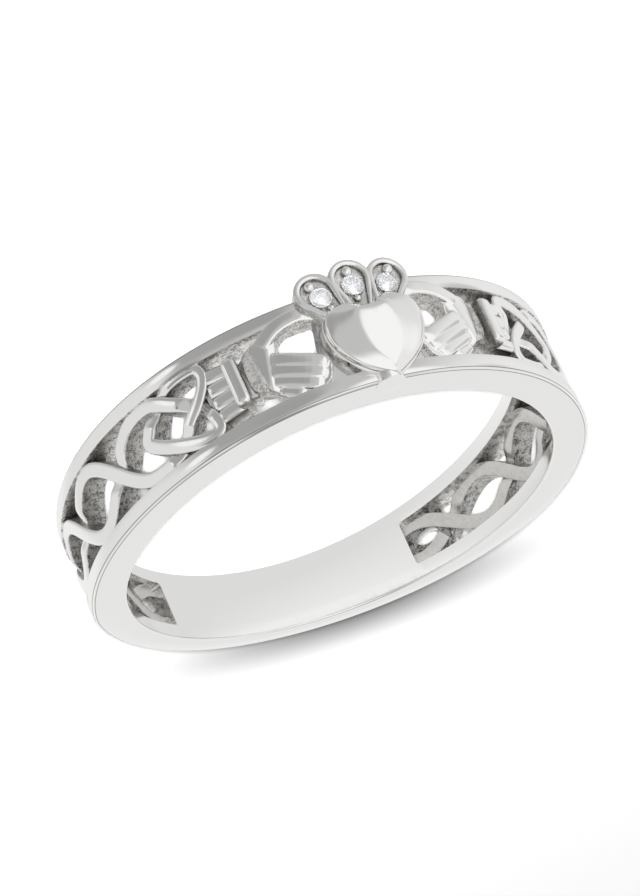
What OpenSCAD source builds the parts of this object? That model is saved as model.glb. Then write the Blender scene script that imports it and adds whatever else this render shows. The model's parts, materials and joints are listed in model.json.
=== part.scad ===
// Claddagh ring: a cast band with a braid cut through between two rails, two cuffed
// hands holding a heart, and a crown of three petals, each set with a round stone.
// The finger hole is centred on the origin. The ring lies on its side as it does by
// itself on a table, on the crown's tip and the lower rim, with the heart towards -Y.
// Left and right are as seen when facing the heart with the crown on top.

/* [Finger hole] */
// Inner diameter of the ring
finger_d = 17.3; // [15:0.1:21]

/* [Band] */
// Thickness of the band at the front and the sides
wall_front = 1.4; // [1.2:0.05:1.8]
// Thickness of the band at the middle of the back
wall_back = 0.85; // [0.7:0.05:1.2]
// How far the circle of the back's outside is shifted to the front
back_shift = 0.9; // [0.6:0.1:1.5]
// Greatest width of the band, rim to rim
band_w = 4.44; // [4:0.02:5.4]
// Width of the band at the middle of the back
back_w = 2.75; // [2.2:0.05:3.2]
// Distance of the widest place from the hole's axis, towards the heart
widest_at = 6.15; // [4:0.05:7]
// Width of each rail beside the braid
rail_w = 0.65; // [0.5:0.05:0.8]
// Angle from the heart to each end of the pierced window
window_turn = 144; // [141:0.5:150]
// How much wider the hole's radius is along the closed back. The photo doesn't show it: it
// keeps the insides of the back and of the rails separate faces for the mount's check
back_relief = 0.02; // [0.02:0.01:0.06]

/* [Braid] */
// Width of a strand
strand_w = 0.58; // [0.44:0.02:0.62]
// Thickness of a strand as a share of the wall
strand_share = 0.57; // [0.54:0.01:0.66]
// Angle from the heart to the first crossing of the plain twist
first_cross = 66.3; // [65:0.2:68]
// Angle between two crossings of the twist
cross_step = 21.8; // [21.4:0.1:22.2]
// How deep the crest of a strand is sunk in the rail
crest_bite = 0.06; // [0.03:0.01:0.12]
// How far the strands stay below the outside of the band
strand_inset = 0.03; // [0.01:0.01:0.06]
// How far the strands stay off the finger hole, as a share of the wall
strand_recess = 0.23; // [0.05:0.01:0.28]
// Length of the web that closes the window's end, as an angle
web_turn = 10; // [8:0.5:11]
// Thickness of that web as a share of the wall
web_share = 0.34; // [0.25:0.01:0.45]
// Length of the eye in the web, as an angle
eye_turn = 6.6; // [5:0.2:7]
// Half height of the eye in the web
eye_rise = 0.3; // [0.2:0.02:0.36]

/* [Sleeves and cuffs] */
// Angle from the heart to the middle of a cuff
cuff_turn = 30.7; // [30.2:0.1:31.2]
// Width of a cuff
cuff_w = 0.58; // [0.46:0.02:0.64]
// Length of a cuff across the band
cuff_len = 2.06; // [1.9:0.02:2.2]
// How far a cuff stands above the band's outside
cuff_rise = 0.3; // [0.2:0.02:0.45]
// Depth of a cuff
cuff_depth = 1.0; // [0.8:0.05:1.2]
// Width of a sleeve's rib
rib_w = 0.52; // [0.4:0.02:0.58]
// Depth of a rib
rib_depth = 0.8; // [0.6:0.05:0.9]
// Distance between the middles of two ribs
rib_pitch = 0.56; // [0.48:0.01:0.6]
// Ribs on a sleeve
rib_count = 4; // [3:1:4]
// How far the ribs stay below the band's outside
rib_drop = 0.06; // [0:0.02:0.16]
// Angle of a sleeve beyond the middle of its cuff
sleeve_turn = 6.6; // [6:0.1:7]
// Depth of the core under the ribs and the cuff
core_depth = 1.0; // [0.8:0.05:1.1]
// How far the core stays below the band's outside
core_drop = 0.25; // [0.15:0.01:0.35]

/* [Hands] */
// Angle from the heart to the middle of a hand
hand_turn = 20; // [19.5:0.1:20.5]
// Length on which a hand's outline is drawn
hand_len = 3.1; // [3:0.02:3.2]
// Depth of a hand
hand_depth = 1.13; // [0.9:0.01:1.25]
// How far the flat of a hand stays below the band's outside
hand_drop = 0.12; // [0.04:0.01:0.2]
// How far knuckles, fingers and thumb stand above the band's outside
hand_rise = 0.12; // [0:0.02:0.3]
// Width of a finger
finger_w = 0.46; // [0.4:0.01:0.5]
// Depth of a finger and of the back of the hand
finger_depth = 0.62; // [0.5:0.02:0.8]
// Width of a thumb
thumb_w = 0.4; // [0.34:0.01:0.5]
// Depth of a thumb
thumb_depth = 0.7; // [0.5:0.02:0.8]

/* [Heart] */
// Width of the heart
heart_w = 3.7; // [3.4:0.05:3.9]
// Height of the heart, from its lobes to its point
heart_h = 3.3; // [3.1:0.05:3.5]
// Height of the heart's middle above the band's outside
heart_rise = 1.05; // [0.7:0.05:1.4]
// How far the foot of the heart stands out round it
heart_foot = 0.07; // [0.04:0.01:0.16]
// Height of the foot above the band's outside
foot_rise = 0.1; // [0.04:0.01:0.2]
// Distance from the rim to the heart's point
point_inset = 0.09; // [0:0.01:0.3]
// Radius of the toe under the heart's point, which laps over the rail
toe_r = 0.6; // [0.4:0.05:0.7]
// How far the toe stands out of the rim
toe_out = 0.06; // [0.03:0.01:0.12]
// Angle from the heart to each end of the ground behind it
ground_turn = 12.5; // [11:0.5:14]
// How far the ground stays below the band's outside
ground_drop = 0.3; // [0.15:0.01:0.5]
// How far the ground stays off the finger hole
ground_inset = 0.25; // [0.1:0.01:0.4]

/* [Crown] */
// Width of a petal
petal_w = 1.64; // [1.54:0.02:1.8]
// Distance between the middles of a petal's round end and of its foot
petal_len = 1.15; // [1:0.01:1.3]
// Width of a petal's foot
petal_foot_w = 0.84; // [0.7:0.02:1]
// Height of the middle petal's tip above the middle of the band
crown_h = 3.05; // [2.9:0.05:3.3]
// How far the outer petals stay below the middle one
petal_drop = 0.2; // [0.1:0.02:0.4]
// Lean of the outer petals
petal_lean = 24; // [18:1:28]
// Angle from the middle of the crown to the round end of an outer petal
petal_turn = 8.1; // [7.8:0.1:8.6]
// Width of a petal's rim
petal_rim = 0.22; // [0.16:0.01:0.28]
// How far the petals stand above the band's outside
petal_rise = 0.42; // [0.3:0.02:0.6]
// Depth of a petal's floor below its rim
petal_floor = 0.3; // [0.2:0.02:0.36]
// Thickness of the crown
petal_depth = 1.0; // [0.8:0.05:1.2]

/* [Stones] */
// Diameter of a round stone
stone_d = 0.86; // [0.8:0.01:0.95]
// Gap between a stone and the metal
stone_gap = 0.02; // [0.01:0.005:0.04]
// Distance from the middle of a petal's round end to the middle of its stone
stone_shift = 0.3; // [0.2:0.01:0.34]
// How far a stone's girdle stays below the petal's rim
girdle_drop = 0.08; // [0.04:0.01:0.14]
// Height of a stone's upper part
stone_top_h = 0.14; // [0.1:0.01:0.18]
// Thickness of a stone's girdle
girdle_t = 0.03; // [0.02:0.005:0.05]
// Depth of a stone below its girdle
pavilion_h = 0.37; // [0.3:0.01:0.4]
// Width of a stone's table
table_w = 0.48; // [0.4:0.01:0.55]
// Radius of the bead at a stone's outer end
bead_outer_r = 0.19; // [0.14:0.01:0.22]
// Radius of the bead at a stone's inner end
bead_inner_r = 0.13; // [0.1:0.01:0.16]

/* [Hidden] */
silver = "silver";
clear_stone = "aliceblue";
$fn = 96;

// How far a cut runs past a face, and how far joined pieces run into each other
over = 0.6;
sink = 0.1;
// Angle by which a piece runs into the solid back of the band
sink_turn = 2;
// Facets of the wide arcs of the rims, so that they stay true to 0.01 mm
rim_fn = 720;

inner_r = finger_d / 2;
outer_r = inner_r + wall_front;
back_y = inner_r + wall_back;
back_out_r = back_y + back_shift;

// Each rim is an arc in side view, widest towards the heart and narrow at the back
rim_run = back_y + widest_at;
rim_fall = (band_w - back_w) / 2;
rim_r = (rim_run * rim_run + rim_fall * rim_fall) / (2 * rim_fall);
rim_z = rim_r - band_w / 2;

function half_width(y) = sqrt(rim_r * rim_r - pow(y + widest_at, 2)) - rim_z;

// Outside of the band at an angle from the heart: the round of the front, or the
// shifted circle of the back where that is smaller
function back_radius(turn) =
    back_shift * cos(turn) + sqrt(back_out_r * back_out_r - pow(back_shift * sin(turn), 2));
function outside(turn) = min(outer_r, back_radius(turn));
function wall(turn) = outside(turn) - inner_r;

// Half height of the window at an angle from the heart
function window_half(turn) = half_width(-inner_r * cos(turn)) - rail_w;

// A point at an angle from the heart, a height and a distance from the hole's axis
function on_ring(turn, z, r) = [r * sin(turn), -r * cos(turn), z];

// Moves flat work from the XY plane to the band: X runs round it, Y up and Z outwards
module on_band(turn, r) rotate(turn) rotate([90, 0, 0]) translate([0, 0, r]) children();

// A smooth line through rows of numbers, with a few rows put between each two
function blend(a, b, c, d, t) =
    0.5 * (2 * b + (c - a) * t + (2 * a - 5 * b + 4 * c - d) * t * t
        + (3 * b - a - 3 * c + d) * t * t * t);
function smooth(rows, parts) = [
    for (i = [0 : len(rows) - 2], k = [0 : parts - 1])
        blend(rows[max(i - 1, 0)], rows[i], rows[i + 1], rows[min(i + 2, len(rows) - 1)], k / parts),
    rows[len(rows) - 1]
];

// Sections of a bar, from its upper edge round: a strand is flat on top with soft edges,
// a finger or rib is round. Columns: SIDE, TOP, as shares of the half width and half depth
strand_section = [
    [1, -0.85], [1, 0.55], [0.76, 0.93], [0, 1], [-0.76, 0.93], [-1, 0.55], [-1, -0.85], [0, -1]
];
round_section = [
    [1, -0.8], [1, 0.3], [0.66, 0.84], [0, 1], [-0.66, 0.84], [-1, 0.3], [-1, -0.8], [0, -1]
];

// Columns of a bar's stations: angle, height, distance of its top from the axis, width, depth
TURN = 0;
RISE = 1;
TOP_R = 2;
WIDE = 3;
DEEP = 4;

function station_point(s) = on_ring(s[TURN], s[RISE], s[TOP_R] - s[DEEP] / 2);
function unit(v) = v / norm(v);

// Bar that follows its stations round the band. A bar that crosses itself is drawn in two
// pieces that taper into each other at the station CUT, so that neither crosses itself
lap_near = 0.97;
lap_end = 0.8;
module bar(stations, section = round_section, cut = undef) {
    n = len(stations);
    mids = [for (s = stations) station_point(s)];
    function ring(i, size = 1) = let (
        s = stations[i],
        ahead = mids[min(i + 1, n - 1)] - mids[max(i - 1, 0)],
        out = on_ring(s[TURN], 0, 1),
        side = unit(cross(unit(ahead), out))
    ) [for (p = section) mids[i] + size / 2 * (side * p[0] * s[WIDE] + out * p[1] * s[DEEP])];
    if (is_undef(cut)) {
        skin([for (i = [0 : n - 1]) ring(i)]);
    } else {
        skin(concat([for (i = [0 : cut]) ring(i)], [ring(cut + 1, lap_end)]));
        skin(concat([ring(cut - 1, lap_end), ring(cut, lap_near)],
            [for (i = [cut + 1 : n - 1]) ring(i)]));
    }
}

// Closed solid through a row of rings of points
module skin(rings) {
    m = len(rings[0]);
    last = (len(rings) - 1) * m;
    walls = [for (i = [0 : len(rings) - 2], k = [0 : m - 1]) let (
        a = i * m + k, b = i * m + (k + 1) % m
    ) each [[a, b, a + m], [b, b + m, a + m]]];
    ends = [[for (k = [m - 1 : -1 : 0]) k], [for (k = [0 : m - 1]) last + k]];
    polyhedron([for (r = rings) each r], concat(walls, ends));
}

// Band with its window
module rim_slab(inset) {
    intersection_for (side = [-1, 1])
        translate([0, -widest_at, side * rim_z]) rotate([0, 90, 0])
            cylinder(r = rim_r - inset, h = 2 * outer_r + 2 * over, center = true, $fn = rim_fn);
}

module back_wedge(turn) {
    reach = 2 * outer_r;
    linear_extrude(band_w + 2 * over, center = true)
        polygon([
            [0, 0],
            reach * [sin(turn), -cos(turn)],
            [0, 2 * reach],
            reach * [-sin(turn), -cos(turn)]
        ]);
}

module band() {
    difference() {
        intersection() {
            cylinder(r = outer_r, h = band_w + over, center = true);
            translate([0, -back_shift, 0]) cylinder(r = back_out_r, h = band_w + over, center = true);
            rim_slab(0);
        }
        cylinder(r = inner_r, h = band_w + 2 * over, center = true);
        intersection() {
            cylinder(r = inner_r + back_relief, h = band_w + 2 * over, center = true);
            back_wedge(window_turn - sink_turn / 2);
        }
        difference() {
            rim_slab(rail_w);
            back_wedge(window_turn);
        }
    }
}

// Plate between two angles and two radii, curved with the band
module curved_plate(from, to, low_r, high_r, half_h) {
    rotate(from - 90) rotate_extrude(angle = to - from)
        translate([low_r, -half_h]) square([high_r - low_r, 2 * half_h]);
}

// Web that closes one end of the window, with an eye through it
module end_web() {
    mid_r = inner_r + wall(window_turn) / 2;
    web_t = web_share * wall(window_turn);
    eye_half = eye_turn / 2 * PI / 180 * mid_r;
    // An eye is where two circles overlap
    eye_r = (eye_half * eye_half + eye_rise * eye_rise) / (2 * eye_rise);
    difference() {
        curved_plate(window_turn - web_turn, window_turn + sink_turn / 2, mid_r - web_t / 2,
            mid_r + web_t / 2, window_half(window_turn) + sink);
        on_band(window_turn - web_turn / 2, mid_r - web_t) intersection_for (side = [-1, 1])
            translate([0, side * (eye_r - eye_rise), 0]) cylinder(r = eye_r, h = 2 * web_t);
    }
}

// Braid. A strand fills the wall, and at a crossing it gives way to the other one.
// Its height is a share of the crest's, and its level is 1 where it is on top and -1
// where it is below
function crest(turn) = window_half(turn) - strand_w / 2 + crest_bite;
function strand_row(turn, rise, level) = let (
    top_r = outside(turn) - strand_inset,
    room = top_r - inner_r - strand_recess * wall(turn),
    cut = (1 - strand_share) * room * abs(level)
) [
    turn, rise * crest(turn), top_r - (level < 0 ? cut : 0), strand_w, room - cut
];

// Plain twist beyond the knot. One crossing, columns: STEP from its middle, where 1 is the
// next crossing, and LEVEL, which is 1 where a strand is on top or below in full
crossing = [
    [-0.4, 0], [-0.27, 0.04], [-0.15, 0.5], [0, 1], [0.15, 0.5], [0.27, 0.04], [0.4, 0], [0.5, 0]
];
crossings = 4;
twist_end = (window_turn + sink_turn - first_cross) / cross_step;
function twist_row(side, step, level) =
    strand_row(first_cross + step * cross_step, side * sin(180 * step), side * level);
function twist(side) = concat(
    [for (n = [0 : crossings - 1], c = crossing)
        twist_row(side, n + c[0], (n % 2 == 0 ? -1 : 1) * c[1])],
    [twist_row(side, twist_end, 0)]
);

// Turned end of the braid, where one strand crosses itself and becomes the other.
// Columns: TURN from the first crossing, RISE as a share of the crest, LEVEL from -1 below
// to 1 on top
knot = [
    [-11.0, -1.00, 0], [-13.9, -1.00, 0.2], [-16.3, -0.90, 1.0], [-19.7, -0.60, 0.1],
    [-23.2, -0.30, -0.2], [-25.6, -0.07, -1.0], [-27.1, 0.23, -0.7], [-28.2, 0.57, -0.1],
    [-28.5, 0.85, 0], [-27.3, 1.00, 0], [-25.1, 1.00, 0], [-22.4, 0.91, 0.3],
    [-19.3, 0.74, 1.0], [-15.8, 0.49, 0.3], [-12.8, 0.21, 0], [-11.5, -0.02, 0],
    [-12.6, -0.27, -0.1], [-14.3, -0.57, -0.5], [-16.3, -0.85, -1.0], [-18.8, -0.98, -0.3],
    [-22.5, -1.00, 0], [-25.7, -1.00, 0], [-28.1, -1.00, 0.1], [-29.1, -0.79, 0.1],
    [-28.3, -0.51, 0.2], [-26.6, -0.22, 0.7], [-25.1, -0.03, 1.0], [-22.7, 0.22, 0.2],
    [-20.8, 0.46, -0.1], [-19.1, 0.66, -1.0], [-16.7, 0.85, -0.5], [-14.3, 0.99, 0],
    [-11.0, 1.00, 0]
];
knot_parts = 2;
function knot_row(k) = strand_row(first_cross + k[0], k[1], k[2]);
function reversed(rows) = [for (i = [len(rows) - 1 : -1 : 0]) rows[i]];

// The whole braid of one side is a single strand, turned back on itself at the knot and
// cut at the knot's inner corner
knot_corner = 15;
module braid() {
    far_end = reversed(twist(1));
    bar(concat(
        far_end,
        [for (k = smooth(knot, knot_parts)) knot_row(k)],
        twist(-1)
    ), strand_section, len(far_end) + knot_corner * knot_parts);
}

// Sleeves, cuffs and hands, made once for the side of +X and mirrored
// Core under sleeve and cuff, from under the wrist to a little beyond the ribs
wrist_turn = 4.5;
rib_end_turn = 1;
core_share = 0.8;
module forearm() {
    top_r = outer_r - core_drop;
    core_w = core_share * rib_count * rib_pitch;
    turns = [cuff_turn - wrist_turn, cuff_turn, cuff_turn + sleeve_turn + rib_end_turn];
    bar([for (turn = turns) [turn, 0, top_r, core_w, core_depth]]);
}

// Ribs that run round the band and spread a little away from the cuff.
// Columns: WAY along the sleeve, SPREAD of the ribs, SIZE of a rib
rib_run = [[0.13, 0.94, 0.9], [0.3, 0.96, 1], [0.78, 1.02, 1], [1, 1.06, 0.88]];
module sleeve() {
    top_r = outer_r - rib_drop;
    for (i = [0 : rib_count - 1]) {
        rise = (i - (rib_count - 1) / 2) * rib_pitch;
        bar([for (w = rib_run) [
            cuff_turn + w[0] * sleeve_turn, w[1] * rise, top_r - (1 - w[2]) * rib_depth / 2,
            w[2] * rib_w, w[2] * rib_depth
        ]]);
    }
}

// A cuff is a bar with round ends. Columns: ALONG as a share of its half length,
// SIZE of its section, LOW as a share of its depth
cuff_run = [[1, 0.5, 0.25], [0.93, 0.82, 0.09], [0.8, 1, 0]];
module cuff() {
    half_len = cuff_len / 2;
    rows = concat([for (c = cuff_run) [-c[0], c[1], c[2]]], reversed(cuff_run));
    bar([for (c = rows) [
        cuff_turn, c[0] * half_len, outer_r + cuff_rise - c[2] * cuff_depth, c[1] * cuff_w,
        cuff_depth
    ]]);
}

// Outline of a hand on the flat, from the wrist over the thumb and back by the fingers.
// Columns: ALONG, as a share of the hand's length, away from the heart;
// ACROSS, as a share of the window's half height, towards the fingers
hand_outline = [
    [0.45, -0.52], [0.23, -0.72], [-0.04, -0.97], [-0.28, -1.05], [-0.51, -1.05],
    [-0.55, -0.79], [-0.45, -0.77], [-0.27, -0.83], [-0.13, -0.77], [-0.03, -0.64],
    [0.01, -0.45], [-0.03, -0.22], [-0.13, -0.06], [-0.30, 0.13], [-0.52, 0.36],
    [-0.51, 0.65], [-0.42, 0.94], [-0.17, 1.05], [0.10, 1.00], [0.26, 0.81], [0.45, 0.61]
];
module palm() {
    across = window_half(hand_turn);
    on_band(hand_turn, outer_r - hand_drop - hand_depth) linear_extrude(hand_depth)
        polygon([for (p = hand_outline) [p[0] * hand_len, p[1] * across]]);
}

// Back of the hand, a mound from the wrist to the knuckles.
// Columns: BACK from the hand's middle in degrees, ACROSS and WIDE as shares of the
// window's height, LOW as a share of the depth
hand_back = [
    [8.6, 0.03, 0.5, 0.3], [7.0, 0.02, 0.62, 0.1], [5.5, 0.01, 0.7, 0.02], [3.0, 0.0, 0.84, 0],
    [1.2, 0.0, 0.88, 0.06], [0.2, 0.0, 0.86, 0.3]
];
module back_of_hand() {
    bar([for (h = hand_back) let (turn = hand_turn + h[0], half = window_half(turn)) [
        turn, 2 * h[1] * half, outer_r + hand_rise - h[3] * finger_depth, 2 * h[2] * half,
        finger_depth
    ]]);
}

// Fingers, side by side and slanting to the heart. Columns: KNUCKLE and its height, TIP
// and its height, in degrees from the hand's middle and as shares of the window's half height
fingers = [
    [3.5, -0.18, -9.2, 0.47], [4.5, 0.06, -8.2, 0.72],
    [5.2, 0.31, -6.5, 0.93], [5.6, 0.57, -2.0, 0.97]
];
// Columns: WAY from the knuckle to the tip, SIZE of a finger, LOW as a share of its depth
finger_run = [[0, 0.8, 0.25], [0.12, 1, 0.02], [0.5, 1, 0], [0.9, 0.95, 0.04], [1, 0.6, 0.3]];
module finger_row() {
    half = window_half(hand_turn);
    for (f = fingers)
        bar([for (w = finger_run) [
            hand_turn + f[0] + (f[2] - f[0]) * w[0],
            half * (f[1] + (f[3] - f[1]) * w[0]),
            outer_r + hand_rise - w[2] * finger_depth, w[1] * finger_w, finger_depth
        ]]);
}

// Thumb along the rail on the crown's side. Columns: TURN from the hand's middle,
// ACROSS as a share of the window's half height, LOW as a share of the thumb's depth
thumb_run = [
    [4.2, -0.52, 0.2], [3.0, -0.64, 0.03], [-0.5, -0.88, 0], [-4.0, -0.97, 0], [-7.5, -0.95, 0],
    [-10.2, -0.84, 0.1]
];
module thumb() {
    bar([for (t = thumb_run) let (turn = hand_turn + t[0]) [
        turn, t[1] * window_half(turn), outer_r + hand_rise - t[2] * thumb_depth, thumb_w,
        thumb_depth
    ]]);
}

module arm() {
    forearm();
    sleeve();
    cuff();
    palm();
    back_of_hand();
    finger_row();
    thumb();
}

// Heart. Half of its outline from the point round a lobe to the cleft.
// Columns: ACROSS as a share of the half width, UP from the point as a share of the height
heart_half = [
    [0, 0], [0.24, 0.07], [0.53, 0.18], [0.73, 0.29], [0.88, 0.42], [0.965, 0.55], [1, 0.68],
    [0.96, 0.82], [0.84, 0.93], [0.6, 1.0], [0.36, 0.995], [0.145, 0.94], [0, 0.86]
];
// Dome of the heart above its foot. Columns: SIZE of the outline, RISE as a share of the
// heart's
heart_dome = [
    [0.98, 0.14], [0.975, 0.42], [0.93, 0.64], [0.82, 0.82], [0.63, 0.93], [0.36, 0.99], [0.1, 1]
];
// Height in the heart about which the dome shrinks, as a share of the heart's height
dome_mid = 0.6;
module heart() {
    n_half = len(heart_half);
    outline = concat(heart_half,
        [for (i = [n_half - 2 : -1 : 1]) [-heart_half[i][0], heart_half[i][1]]]);
    foot = 1 + 2 * heart_foot / heart_w;
    levels = concat(
        [[foot, inner_r + ground_inset + sink], [foot, outer_r + foot_rise]],
        [for (p = heart_dome) [p[0], outer_r + p[1] * heart_rise]]
    );
    // The point lies near the upper rim, the lobes lie under the crown
    point_z = half_width(-outer_r) - point_inset;
    skin([for (l = levels) [for (p = outline) [
        l[0] * p[0] * heart_w / 2,
        -l[1],
        point_z - heart_h * (dome_mid + l[0] * (p[1] - dome_mid))
    ]]]);
}

// Toe of the heart, lapped over the upper rail and a little way out of its rim
module toe() {
    base_z = window_half(0);
    translate([0, -(outer_r - toe_r / 2), base_z])
        cylinder(r = toe_r, h = half_width(-outer_r) + toe_out - base_z);
}

// Ground behind the heart, between the rails
module ground() {
    curved_plate(-ground_turn, ground_turn, inner_r + ground_inset, outer_r - ground_drop,
        window_half(0) + sink);
}

// Outline of a petal on the flat: round at the tip, narrower at the foot
function petal_outline(tip_r, foot_r) = let (
    lean = asin((tip_r - foot_r) / petal_len),
    parts = 10
) concat(
    [for (k = [0 : parts]) let (a = 180 - lean + (180 + 2 * lean) * k / parts)
        tip_r * [cos(a), sin(a)]],
    [for (k = [0 : parts / 2]) let (a = lean + (180 - 2 * lean) * k * 2 / parts)
        [0, petal_len] + foot_r * [cos(a), sin(a)]]
);

// A petal hangs towards the lower rim, turned about the middle of its round end
petal_r = outer_r + petal_rise;
module place_petal(side) {
    drop = side == 0 ? 0 : petal_drop;
    on_band(side * petal_turn, petal_r) translate([0, petal_w / 2 - crown_h + drop, 0])
        rotate(side * petal_lean) children();
}

module petal_body() {
    translate([0, 0, -petal_depth]) linear_extrude(petal_depth)
        polygon(petal_outline(petal_w / 2, petal_foot_w / 2));
}

// Pocket of a petal with the seat of its stone
seat_r = stone_d / 2 + stone_gap;
seat_point_r = 0.05;
module petal_pocket() {
    translate([0, 0, -petal_floor]) linear_extrude(petal_floor + over)
        polygon(petal_outline(petal_w / 2 - petal_rim, (petal_foot_w - petal_rim) / 2));
    seat_h = pavilion_h + 2 * stone_gap;
    translate([0, stone_shift, stone_gap - girdle_drop - seat_h])
        cylinder(r1 = seat_point_r, r2 = seat_r, h = seat_h);
}

// Beads of metal that hold the stone at both ends of the pocket
bead_fn = 20;
module petal_beads() {
    for (b = [[-1, bead_outer_r], [1, bead_inner_r]])
        translate([0, stone_shift + b[0] * (seat_r + b[1]), b[1] / 2 - petal_floor])
            sphere(b[1], $fn = bead_fn);
}

module crown() {
    difference() {
        union() for (side = [-1, 0, 1]) place_petal(side) petal_body();
        for (side = [-1, 0, 1]) place_petal(side) petal_pocket();
    }
    for (side = [-1, 0, 1]) place_petal(side) petal_beads();
}

// Round stone: a table, a ring of upper facets, a girdle and a pointed lower part
table_sides = 8;
module cut_stone() {
    girdle_sides = 2 * table_sides;
    function around(n, radius, z) = [for (k = [0 : n - 1]) [
        radius * cos(360 * k / n), radius * sin(360 * k / n), z
    ]];
    points = concat(
        around(table_sides, table_w / 2, stone_top_h),
        around(girdle_sides, stone_d / 2, girdle_t / 2),
        around(girdle_sides, stone_d / 2, -girdle_t / 2),
        [[0, 0, -pavilion_h]]
    );
    low = table_sides + girdle_sides;
    upper = [for (k = [0 : table_sides - 1]) let (
        t = k, t_next = (k + 1) % table_sides,
        g = table_sides + 2 * k, g_next = table_sides + (2 * k + 2) % girdle_sides
    ) each [[t, g + 1, g], [t, t_next, g + 1], [t_next, g_next, g + 1]]];
    girdle = [for (k = [0 : girdle_sides - 1]) let (
        a = table_sides + k, b = table_sides + (k + 1) % girdle_sides
    ) each [[a, b, a + girdle_sides], [b, b + girdle_sides, a + girdle_sides]]];
    lower = [for (k = [0 : girdle_sides - 1])
        [low + k, low + (k + 1) % girdle_sides, low + girdle_sides]];
    table = [[for (k = [table_sides - 1 : -1 : 0]) k]];
    polyhedron(points, concat(table, upper, girdle, lower));
}

module stone(side) {
    color(clear_stone) at_rest() place_petal(side)
        translate([0, stone_shift, -girdle_drop]) cut_stone();
}

// The ring lies on the back edge of the crown's tip and on the arc of the lower rim
tip_y = -(petal_r - petal_depth);
arm_y = -widest_at - tip_y;
arm_z = rim_z + crown_h;
rest_tilt = acos(rim_r / norm([arm_y, arm_z])) - atan(arm_y / arm_z);
module at_rest() rotate([-rest_tilt, 0, 0]) children();

module cast_ring() {
    color(silver) at_rest() {
        band();
        for (side = [0, 1]) {
            rotate([0, 180 * side, 0]) braid();
            rotate([0, 180 * side, 0]) end_web();
            mirror([side, 0, 0]) arm();
        }
        ground();
        heart();
        toe();
        crown();
    }
}

cast_ring();
stone(1);  // stone_left
stone(0);  // stone_middle
stone(-1);  // stone_right
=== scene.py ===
"""A claddagh ring lying on its side in plain studio light.

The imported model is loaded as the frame. Detailed pieces take the place of its metal: one
operator builds the band, one the braids with the webs at their ends, one the sleeves, cuffs and
hands, one the heart and one the crown. Another cuts the stones, and the last sets the stage.

The settings hold lengths in metres and angles in radians. Elsewhere a place on the ring is
given by its turn in degrees from the heart, its rise along the ring's axis and its distance
from that axis, and a finished piece is turned into the resting pose.
"""
import json
import math

import bmesh
import bpy
from bpy.props import FloatProperty, FloatVectorProperty, IntProperty
from mathutils import Matrix, Vector


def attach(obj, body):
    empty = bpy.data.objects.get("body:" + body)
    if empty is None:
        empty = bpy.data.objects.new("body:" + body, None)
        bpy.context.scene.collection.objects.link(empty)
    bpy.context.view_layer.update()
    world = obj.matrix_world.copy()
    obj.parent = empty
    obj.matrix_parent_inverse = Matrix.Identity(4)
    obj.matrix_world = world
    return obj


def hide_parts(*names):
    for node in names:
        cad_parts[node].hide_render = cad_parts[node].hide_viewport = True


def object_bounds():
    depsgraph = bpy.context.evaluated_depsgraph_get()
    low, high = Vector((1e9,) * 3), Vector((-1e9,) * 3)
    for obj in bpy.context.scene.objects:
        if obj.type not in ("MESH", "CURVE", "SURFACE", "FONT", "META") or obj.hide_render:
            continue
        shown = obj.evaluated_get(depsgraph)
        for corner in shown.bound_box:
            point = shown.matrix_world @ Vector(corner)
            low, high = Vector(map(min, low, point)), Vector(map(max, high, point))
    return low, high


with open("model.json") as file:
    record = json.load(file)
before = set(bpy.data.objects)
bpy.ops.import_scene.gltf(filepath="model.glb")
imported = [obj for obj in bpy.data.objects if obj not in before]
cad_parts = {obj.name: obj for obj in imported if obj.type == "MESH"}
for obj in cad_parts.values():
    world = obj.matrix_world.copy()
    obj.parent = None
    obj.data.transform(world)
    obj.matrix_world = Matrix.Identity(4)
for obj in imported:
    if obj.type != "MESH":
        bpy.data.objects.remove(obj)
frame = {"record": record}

bl_info = {
    "name": "Claddagh ring",
    "version": (1, 0, 0),
    "blender": (4, 5, 0),
    "location": "View3D > Sidebar > Claddagh",
    "description": "Builds a claddagh ring on its packed frame and lights it",
    "category": "Add Mesh",
}

MM = 0.001
METAL = "cast_ring"
BORE = frame["record"]["mounts"][0]
CAD_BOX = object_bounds()


# Sizes and colours
class BandSizes(bpy.types.PropertyGroup):
    """Sizes of the band and its pierced window"""

    wall_front: FloatProperty(
        name="Front wall", description="Thickness of the band at the front and the sides",
        default=1.4 * MM, unit="LENGTH")
    wall_back: FloatProperty(
        name="Back wall", description="Thickness of the band at the middle of the back",
        default=0.85 * MM, unit="LENGTH")
    back_shift: FloatProperty(
        name="Back shift", description="How far the circle of the back's outside is shifted forward",
        default=0.9 * MM, unit="LENGTH")
    band_w: FloatProperty(
        name="Width", description="Greatest width of the band", default=4.44 * MM, unit="LENGTH")
    back_w: FloatProperty(
        name="Back width", description="Width of the band at the middle of the back",
        default=2.75 * MM, unit="LENGTH")
    widest_at: FloatProperty(
        name="Widest at", description="Distance of the widest place from the axis, towards the heart",
        default=6.15 * MM, unit="LENGTH")
    rail_w: FloatProperty(
        name="Rail width", description="Width of each rail", default=0.65 * MM, unit="LENGTH")
    window_turn: FloatProperty(
        name="Window end", description="Angle from the heart to each end of the window",
        default=math.radians(144), subtype="ANGLE")
    window_corner: FloatProperty(
        name="Window corner", description="Radius of the window's corners",
        default=0.15 * MM, unit="LENGTH")
    rim_chamfer: FloatProperty(
        name="Rim chamfer", description="Chamfer of the band's outer edges",
        default=0.09 * MM, unit="LENGTH")
    bore_round: FloatProperty(
        name="Bore round", description="Round of the edges of the finger hole",
        default=0.1 * MM, unit="LENGTH")
    window_round: FloatProperty(
        name="Window round", description="Round of the window's edges",
        default=0.05 * MM, unit="LENGTH")
    steps: IntProperty(
        name="Steps", description="Steps round the band", default=360)


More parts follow.
